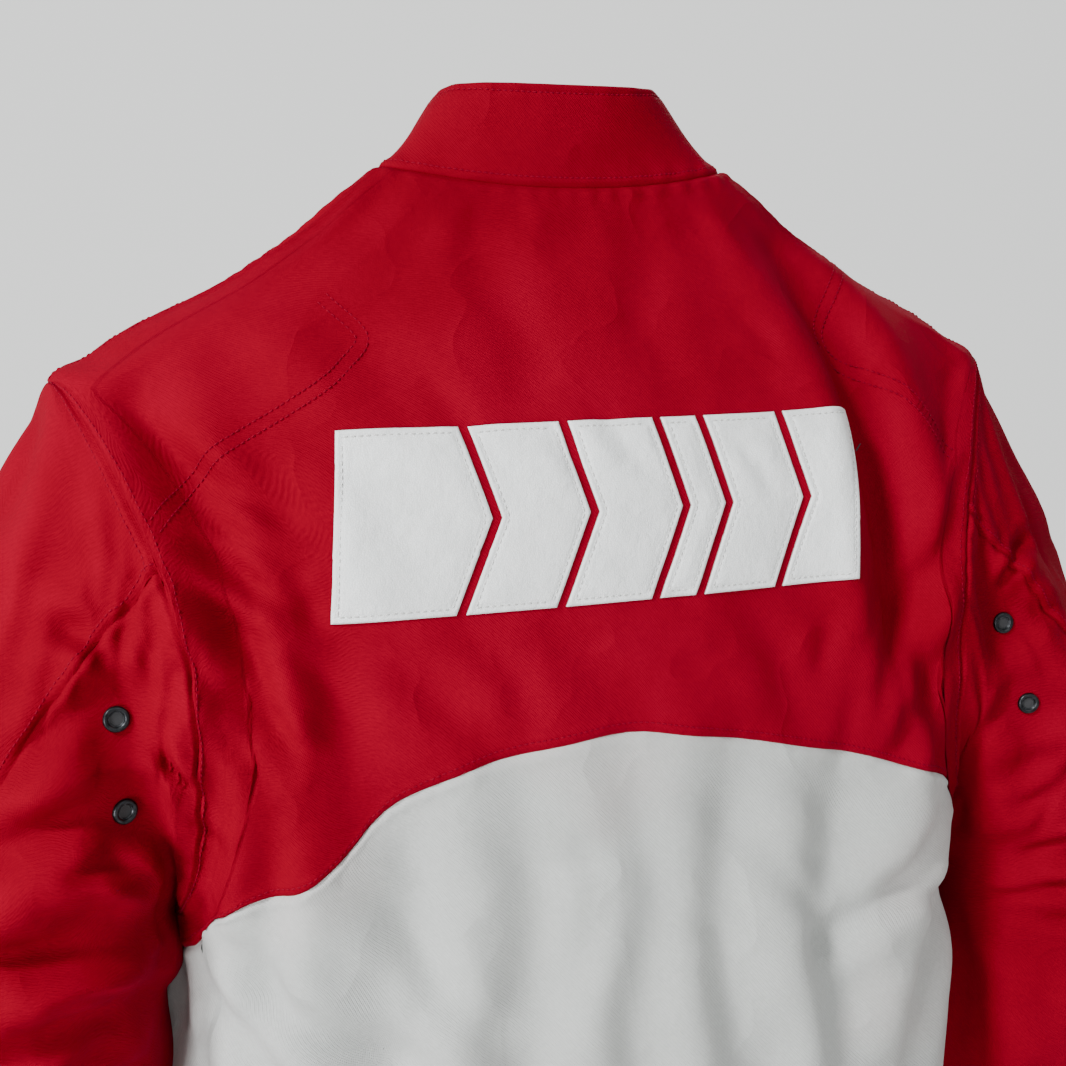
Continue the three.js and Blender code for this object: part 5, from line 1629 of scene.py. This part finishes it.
def make_badges():
    start = 0.0
    for number, width in enumerate(BAND_WIDTHS, 1):
        first, last = number == 1, number == len(BAND_WIDTHS)
        across = marks(width, 1.9)
        rise = mix(-0.5, 0.5, np.unique(np.concatenate([marks(BAND_HEIGHT, 1.9), [0.5]])))
        t, up = np.meshgrid(across, rise * BAND_HEIGHT)
        low_edge = start + (0 if first else 1) * arrow_out(up)
        high_edge = start + width + (0 if last else 1) * arrow_out(up)
        along = mix(low_edge, high_edge, t)
        points, normals = band_place(along, up)
        lengths = high_edge - low_edge
        left_away = t * lengths / (1 if first else POINT_LEAN)
        right_away = (1 - t) * lengths / (1 if last else POINT_LEAN)
        edge = np.minimum(np.minimum(left_away, right_away), BAND_HEIGHT / 2 - np.abs(up))
        worn = np.sin(along / 7 + number) * np.sin(up / 11 + 2 * number) + np.sin((along + up) / 5)
        height = LEATHER_THICK - 0.7 * rounded(edge, 1.1) - 0.55 * bell(edge - LEATHER_STITCH, 0.8)
        height = height + 0.5 * smooth((edge - 3) / 9) + 0.16 * worn * smooth(edge / 6)
        outer = points + normals * height[..., None]
        inner = points - normals * 0.1
        piece = shell(f"back_badge_{number}_leather", outer, inner, LEATHER, sharp=55)
        PANELS[f"back_badge_{number}_leather"] = (outer, normals, flat_map(outer))
        piece.data.materials.append(CUT_EDGE.material)
        count = outer.shape[0] * outer.shape[1]
        for face in piece.data.polygons:
            tops = sum(v < count for v in face.vertices)
            if 0 < tops < 4:
                face.material_index = 1
        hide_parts(f"back_badge_{number}")
        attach(piece, "torso")
        sewn = []
        for along_line, up_line in badge_seams(start, width, first, last):
            points, normals = band_place(along_line, up_line)
            sewn.append((points + normals * (LEATHER_THICK - 0.45), normals))
        seams = stitches(f"back_badge_{number}_stitching", sewn, WHITE_THREAD, pitch=3.6, length=2.6)
        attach(seams, "torso")
        start += width + BAND_GAP


# ---- Lining and pads ----------------------------------------------------------------------------------


BACK_LINING_DEPTH = 12.5        # how far behind the outer face each lining hangs
FRONT_LINING_DEPTH = 10.5
FOREARM_LINING_DEPTH = 8.5
LINING_THICK = 1.0


def lining_shell(name, patch, share, level, depth, replaced, loop=False):
    points, normals = patch.place(share, level), patch.plain_normal(share, level)
    outer = points - normals * depth
    piece = shell(name, outer, outer - normals * LINING_THICK, LINING, loop=loop, flip=patch.flip)
    PANELS[name] = (outer, normals, flat_map(outer))
    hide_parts(replaced)
    return piece


def make_linings():
    rows = np.unique(np.concatenate([np.linspace(0.05, NECK - 0.02, 64), [UNDERARM, TIP]]))
    grid, level = np.meshgrid(np.linspace(0.0, 1.0, 52), rows)
    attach(lining_shell("back_lining_cloth", BACK, grid, level, BACK_LINING_DEPTH, "back_lining"), "torso")
    for sign, side in ((1, "left"), (-1, "right")):
        grid, level = np.meshgrid(np.linspace(0.0, 0.985, 27), rows)
        piece = lining_shell(f"{side}_front_lining_cloth", FRONTS[sign], grid, level, FRONT_LINING_DEPTH,
                             f"{side}_front_lining")
        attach(piece, "torso")
        around = np.arange(60) / 60
        grid, step = np.meshgrid(around, np.linspace(-0.9, SPLIT, 44))
        piece = lining_shell(f"{side}_arm_lining_cloth", SLEEVES[sign], grid, step, FRONT_LINING_DEPTH,
                             f"{side}_upper_sleeve_lining", loop=True)
        swing(piece)
        grid, step = np.meshgrid(around, np.linspace(SPLIT, WRIST - 0.25, 32))
        piece = lining_shell(f"{side}_forearm_lining_cloth", SLEEVES[sign], grid, step, FOREARM_LINING_DEPTH,
                             f"{side}_forearm_lining", loop=True)
        bend(piece, sign, side)


PAD_DEPTH = 2.2                 # from the outer face of the shell to the pad
PAD_RIM = 0.6                   # half of the pad's thickness at its edge
PAD_CHANNELS = 6                # moulded channels across it


def pad(name, patch, share_range, level_range, thickness, replaced):
    """A soft pad between shell and lining: full in the middle, thin at its edge, with moulded channels."""
    t, s = np.meshgrid(np.linspace(0, 1, 34), np.linspace(0, 1, 40))
    share, level = mix(*share_range, t), mix(*level_range, s)
    points, normals = patch.place(share, level), patch.plain_normal(share, level)
    edge = np.minimum(np.minimum(t, 1 - t) * 1.6, np.minimum(s, 1 - s) * 1.6)
    crown = 1 - rounded(edge, 0.22)
    channels = bell(np.mod(s * PAD_CHANNELS, 1) - 0.5, 0.09) * 0.9
    half = np.maximum(PAD_RIM + (thickness / 2 - PAD_RIM) * crown - channels * crown, 0.5)
    middle = points - normals * (PAD_DEPTH + thickness / 2)
    outer, inner = middle + normals * half[..., None], middle - normals * half[..., None]
    piece = shell(name, outer, inner, FOAM, flip=patch.flip)
    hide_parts(replaced)
    return piece


def make_pads():
    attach(pad("back_pad_foam", BACK, (0.27, 0.73), (2.1, 6.0), 6.6, "back_pad"), "torso")
    for sign, side in ((1, "left"), (-1, "right")):
        patch = SLEEVES[sign]
        piece = pad(f"{side}_shoulder_pad_foam", patch, (0.2, 0.5), (0.1, 2.2), 6.0, f"{side}_shoulder_pad")
        swing(piece)
        piece = pad(f"{side}_elbow_pad_foam", patch, (0.36, 0.6), (SPLIT + 0.1, 6.6), 5.2,
                    f"{side}_elbow_pad")
        bend(piece, sign, side)


# ---- Cuffs and trim -----------------------------------------------------------------------------------

CUFF_THICK = 2.6


def make_cuffs():
    """Each cuff is a doubled band round the wrist with two rows of stitches."""
    for sign, side in ((1, "left"), (-1, "right")):
        patch = SLEEVES[sign]
        rows = mix(CUFF, WRIST, marks(36, 2.4))
        around = np.arange(96) / 96
        share, step = np.meshgrid(around, rows)
        points, normals = patch.place(share, step), patch.normal(share, step)
        flat = flat_map(points)
        up, end = flat[..., 1], flat[-1:, :, 1] - flat[..., 1]
        along = flat[..., 0]
        height = edge_relief("stitched", up, along) - 0.5 * bell(end - TOPSTITCH, 0.9)
        height = height + 0.35 * np.sin(along / 3.1) * bell(end - TOPSTITCH, 5)
        rolled = rounded(end, 1.4)
        outer = points + normals * (height - 1.2 * rolled)[..., None]
        inner = points - normals * (CUFF_THICK - 1.1 * rolled)[..., None]
        band = shell(f"{side}_cuff_cloth", outer, inner, RED, loop=True, flip=patch.flip, sharp=70)
        PANELS[f"{side}_cuff_cloth"] = (outer, normals, flat)
        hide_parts(f"{side}_cuff")
        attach(band, f"{side}_forearm")
        lines = [inset_line(f"{side}_cuff_cloth", edge_side, TOPSTITCH) for edge_side in ("bottom", "top")]
        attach(stitches(f"{side}_cuff_stitching", lines, RED_THREAD), f"{side}_forearm")


EYELET_PROFILE = [(3.1, -0.3), (3.2, 0.3), (3.4, 0.62), (3.7, 0.5), (3.85, 0.7), (4.6, 1.25), (5.5, 1.15),
                  (6.1, 0.6), (6.2, -0.9)]
BRIGHT_RINGS = 2                           # how many of the innermost bands of the profile are worn bright


EYELET_LIFT = 0.7                          # how far it stands out of the middle of the cloth


def eyelet(name, place, out):
    """A pressed metal eyelet: a domed flange outside a bright throat, closed by a disc in the black lining's
    colour, which stands for the lining seen through the hole and paints the shade inside it.
    """
    sides = 40
    out = unit(np.asarray(out))
    side = unit(np.cross(out, [0.0, 0.0, 1.0]))
    top = np.cross(out, side)
    vertices, faces, tint = [], [], []
    for radius, height in EYELET_PROFILE:
        for k in range(sides):
            turn = 2 * math.pi * k / sides
            around = math.cos(turn) * side + math.sin(turn) * top
            vertices.append(place + (radius * around + height * out))
    for ring in range(len(EYELET_PROFILE) - 1):
        for k in range(sides):
            a, b = ring * sides + k, ring * sides + (k + 1) % sides
            faces.append((a, b, b + sides, a + sides))
            tint.append(1 if ring < BRIGHT_RINGS else 0)
    # The disc across the throat takes the black lining's colour: it is the lining behind the hole, and it is
    # also painted shade inside the hole.
    faces.append(tuple(reversed(range(sides))))
    tint.append(2)
    last = (len(EYELET_PROFILE) - 1) * sides
    faces.append(tuple(range(last, last + sides)))
    tint.append(0)
    faces = [face[::-1] for face in faces]
    others = (BARE_RING, LINING)
    return make(name, np.array(vertices), faces, GUNMETAL, sharp=60, extra=others, extra_faces=tint)


def make_eyelets():
    for sign, side in ((1, "left"), (-1, "right")):
        for word, (turn, step) in zip(("upper", "lower"), EYELETS[sign]):
            share = turn_share(math.radians(turn), np.array(float(step)))
            place = SLEEVES[sign].place(share, step)
            out = SLEEVES[sign].normal(share, step)
            piece = eyelet(f"{side}_vent_eyelet_{word}_metal", place + out * EYELET_LIFT, out)
            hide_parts(f"{side}_vent_eyelet_{word}")
            swing_whole(piece, sign, place)


ROUNDED_FROM = math.radians(30)            # edges sharper than this are rounded


def refined(name, node, shader, width, segments=2):
    """The part's own solid with its edges rounded, which then stands for it."""
    source = frame["nodes"][node]
    mesh = source.data.copy()
    mesh.name = name
    mesh.materials.clear()
    mesh.materials.append(shader.material)
    piece = bpy.data.objects.new(name, mesh)
    bpy.context.scene.collection.objects.link(piece)
    net = bmesh.new()
    net.from_mesh(mesh)
    bmesh.ops.remove_doubles(net, verts=net.verts, dist=1e-6)
    bmesh.ops.dissolve_limit(net, angle_limit=math.radians(1), verts=net.verts, edges=net.edges)
    edges = [edge for edge in net.edges if edge.is_manifold and edge.calc_face_angle(0) > ROUNDED_FROM]
    bmesh.ops.bevel(net, geom=edges, offset=width * METRES, segments=segments, profile=0.6, affect="EDGES",
                    clamp_overlap=True)
    net.to_mesh(mesh)
    net.free()
    mesh.shade_smooth()
    mesh.set_sharp_from_angle(angle=math.radians(50))
    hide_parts(node)
    return piece


BAR_TOP = 0.72                  # width of a bar's outer face, as a share of its inner one


def bar_mesh(name, bars, shader):
    """Small rounded bars in one mesh. Each bar is (middle, half across, half up, half out) as vectors."""
    vertices, faces = [], []
    corners = [(a, b, c) for c in (-1, 1) for a, b in ((-1, -1), (1, -1), (1, 1), (-1, 1))]
    box_faces = [(0, 3, 2, 1), (4, 5, 6, 7), (0, 1, 5, 4), (2, 3, 7, 6), (1, 2, 6, 5), (3, 0, 4, 7)]
    for middle, across, up, out in bars:
        base = len(vertices)
        for a, b, c in corners:
            narrow = BAR_TOP if c > 0 else 1.0
            vertices.append(middle + across * a * narrow + up * b * narrow + out * c)
        faces += [tuple(base + k for k in face) for face in box_faces]
    piece = make(name, np.array(vertices), faces, shader, sharp=40)
    if np.dot(np.cross(bars[0][1], bars[0][2]), bars[0][3]) < 0:
        piece.data.flip_normals()
    return piece


ZIP_TOP = -40.0
ZIP_BOTTOM = -JACKET_LENGTH + 6.0
TOOTH_PITCH = 3.0
RETAINER_HEIGHT = 12.0


def make_main_zip():
    """Woven tapes behind the fronts, with single metal teeth that mesh along the middle."""
    lean = unit(np.array([0.0, FRONT_LEAN, 1.0]))
    out = unit(np.array([0.0, -1.0, FRONT_LEAN]))
    across = np.array([1.0, 0.0, 0.0])
    for sign, side in ((1, "left"), (-1, "right")):
        rows = np.linspace(ZIP_BOTTOM, ZIP_TOP, 180)
        columns = np.linspace(0.2, 5.8, 8)
        x, z = np.meshgrid(columns, rows)
        ripple = 0.05 * np.sin(z * 2 * math.pi / 1.8) + 0.22 * np.exp(-((x - 1.2) / 0.5) ** 2)
        outer = np.stack([x, front_y(z) + 0.95 - ripple, z], -1)
        inner = outer + np.array([0.0, 0.9, 0.0])
        outer, inner = outer * [sign, 1, 1], inner * [sign, 1, 1]
        tape = shell(f"{side}_zip_tape_cloth", outer, inner, TAPE, flip=sign < 0)
        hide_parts(f"{side}_zip_tape")
        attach(tape, "torso")
        bars = []
        count = int((ZIP_TOP - ZIP_BOTTOM - RETAINER_HEIGHT) / TOOTH_PITCH)
        for k in range(count):
            z_here = ZIP_TOP - 1.0 - (k + (0.5 if sign < 0 else 0.0)) * TOOTH_PITCH
            front = front_y(z_here)
            head = np.array([sign * 0.75, front - 0.55, z_here])
            bars.append((head, across * 1.15, lean * 0.72, out * 1.05))
            foot = np.array([sign * 2.1, front - 0.35, z_here])
            bars.append((foot, across * 0.75, lean * 1.05, out * 0.95))
        teeth = bar_mesh(f"{side}_zip_metal_teeth", bars, TEETH)
        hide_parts(f"{side}_zip_teeth")
        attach(teeth, "torso")
    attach(refined("zip_retainer_box_metal", "zip_retainer_box", GUNMETAL, 0.5, 3), "torso")
    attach(refined("zip_slider_metal", "zip_slider", GUNMETAL, 0.35, 3), "main_slider")
    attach(refined("zip_pull_metal", "zip_pull", GUNMETAL, 0.3, 2), "main_pull")


COIL_PITCH = 1.5                # between two turns of a small zip's coil
COIL_END = 2.4                  # from the end of its tape to the first turn


def small_zip(side, word, body):
    """A pocket or cuff zip: the sewn tape and, along its middle, the turns of its coil."""
    node = f"{side}_{word}_zip"
    tape = refined(f"{node}_tape", node, TAPE, 0.3, 2)
    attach(tape, body)
    places = np.array([tuple(v.co) for v in frame["nodes"][node].data.vertices]) / METRES
    middle = places.mean(axis=0)
    along, across, out = np.linalg.svd(places - middle, full_matrices=False)[2]
    reach = (places - middle) @ out
    if word == "pocket":
        outwards = middle * [1, 1, 0]
    else:
        outwards = middle - np.array([math.copysign(WRIST_X, middle[0]), WRIST_Y, middle[2]])
    if out @ outwards < 0:
        out, reach = -out, -reach
    along_reach = (places - middle) @ along
    middle_across = ((places - middle) @ across).mean()
    bars = []
    for at in np.arange(along_reach.min() + COIL_END, along_reach.max() - COIL_END, COIL_PITCH):
        spot = middle + along * at + across * middle_across + out * (reach.max() + 0.05)
        bars.append((spot, across * 1.5, along * 0.42, out * 0.34))
    coil = bar_mesh(f"{node}_coil", bars, TEETH)
    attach(coil, body)
    slider = refined(f"{side}_{word}_slider_metal", f"{side}_{word}_slider", GUNMETAL, 0.3, 2)
    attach(slider, f"{side}_{word}_runner")


def make_trim():
    make_main_zip()
    for side in ("left", "right"):
        small_zip(side, "pocket", "torso")
        small_zip(side, "cuff", f"{side}_forearm")
    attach(refined("locker_loop_strap", "locker_loop", WEBBING, 0.5, 3), "torso")


# ---- Sheets -------------------------------------------------------------------------------------------


def declare_sheet(name):
    """Works out the width of the longest row of a piece of cloth on its flat map; the width is not kept or
    returned.
    """
    outer, _, flat = PANELS[name]
    width = (flat[:, -1, 0] - flat[:, 0, 0]).max()
    if name.endswith("cuff_cloth"):
        width = width * flat.shape[1] / (flat.shape[1] - 1)


def declare_sheets():
    declare_sheet("back_yoke_cloth")
    declare_sheet("back_lower_cloth")
    declare_sheet("collar_cloth")
    declare_sheet("collar_facing")
    declare_sheet("back_lining_cloth")
    for number in range(1, len(BAND_WIDTHS) + 1):
        name = f"back_badge_{number}"
        declare_sheet(name + "_leather")
    for side in ("left", "right"):
        declare_sheet(f"{side}_front_upper_cloth")
        declare_sheet(f"{side}_front_lower_cloth")
        declare_sheet(f"{side}_sleeve_outer_cloth")
        declare_sheet(f"{side}_sleeve_under_cloth")
        declare_sheet(f"{side}_forearm_outer_cloth")
        declare_sheet(f"{side}_forearm_under_cloth")
        declare_sheet(f"{side}_cuff_cloth")
        declare_sheet(f"{side}_front_lining_cloth")
        declare_sheet(f"{side}_arm_lining_cloth")
        declare_sheet(f"{side}_forearm_lining_cloth")


# ---- Picture ------------------------------------------------------------------------------------------

CAMERA_PLACE = Vector((0.250, 0.6995, -0.123))
CAMERA_YAW, CAMERA_PITCH, CAMERA_ROLL = math.radians(18.6), math.radians(-5.7), math.radians(-2.2)
CAMERA_LENS, CAMERA_SENSOR = 44.61, 36.0
FLOOR_DROP, FLOOR_RADIUS, FLOOR_SIDES = 0.74, 1.3, 96


def make_camera():
    level = math.cos(CAMERA_PITCH)
    looking = Vector((-math.sin(CAMERA_YAW) * level, -math.cos(CAMERA_YAW) * level, math.sin(CAMERA_PITCH)))
    right = looking.cross(Vector((0, 0, 1))).normalized()
    up = right.cross(looking)
    rolled_right = right * math.cos(CAMERA_ROLL) + up * math.sin(CAMERA_ROLL)
    rolled_up = up * math.cos(CAMERA_ROLL) - right * math.sin(CAMERA_ROLL)
    data = bpy.data.cameras.new("camera")
    data.lens, data.sensor_width = CAMERA_LENS, CAMERA_SENSOR
    data.clip_start, data.clip_end = 0.01, 30
    camera = bpy.data.objects.new("camera", data)
    turn = Matrix((rolled_right, rolled_up, -looking)).transposed()
    camera.matrix_world = Matrix.Translation(CAMERA_PLACE) @ turn.to_4x4()
    bpy.context.scene.collection.objects.link(camera)
    bpy.context.scene.camera = camera


def area_light(name, place, target, size, watts):
    data = bpy.data.lights.new(name, "AREA")
    data.shape = "RECTANGLE"
    data.size, data.size_y = size
    data.energy = watts
    light = bpy.data.objects.new(name, data)
    light.location = place
    light.rotation_euler = (Vector(target) - Vector(place)).to_track_quat("-Z", "Y").to_euler()
    bpy.context.scene.collection.objects.link(light)


def make_studio():
    turns = [2 * math.pi * k / FLOOR_SIDES for k in range(FLOOR_SIDES)]
    rim = [(FLOOR_RADIUS * math.cos(turn), FLOOR_RADIUS * math.sin(turn), -FLOOR_DROP) for turn in turns]
    mesh = bpy.data.meshes.new("floor")
    mesh.from_pydata(rim, [], [tuple(range(FLOOR_SIDES))])
    floor = bpy.data.objects.new("floor", mesh)
    bpy.context.scene.collection.objects.link(floor)
    shader = Shader("pale_floor", "floor", 0.9)
    shader.colour(shader.ramp(shader.noise(3, 2), (0.3, (0.6, 0.6, 0.59)), (0.7, (0.66, 0.66, 0.65))))
    mesh.materials.append(shader.material)
    world = bpy.data.worlds.new("studio")
    world.use_nodes = True
    nodes, links = world.node_tree.nodes, world.node_tree.links
    background = nodes["Background"]
    background.inputs["Color"].default_value = (0.93, 0.94, 0.93, 1)
    parts = nodes.new("ShaderNodeSeparateXYZ")
    spread = nodes.new("ShaderNodeMapRange")
    for key, value in (("From Min", -1.0), ("From Max", 1.0), ("To Min", 1.42), ("To Max", 0.28)):
        spread.inputs[key].default_value = value
    links.new(nodes.new("ShaderNodeTexCoord").outputs["Generated"], parts.inputs[0])
    links.new(parts.outputs["Y"], spread.inputs["Value"])
    links.new(spread.outputs[0], background.inputs["Strength"])
    bpy.context.scene.world = world
    area_light("key", (1.75, 1.0, 1.35), (0.0, 0.0, -0.3), (0.4, 0.4), 78)
    area_light("fill", (-0.7, 2.0, 0.6), (0.0, 0.0, -0.35), (1.2, 1.2), 11)
    area_light("side", (1.3, 0.95, -0.6), (0.33, 0.08, -0.36), (0.5, 0.7), 24)
    area_light("front_key", (-1.3, -1.6, 1.3), (0.0, 0.0, -0.3), (0.9, 0.9), 30)


make_camera()
make_studio()
make_back()
make_fronts()
make_sleeves()
make_collar()
make_badges()
make_linings()
make_pads()
make_cuffs()
make_eyelets()
make_trim()
declare_sheets()
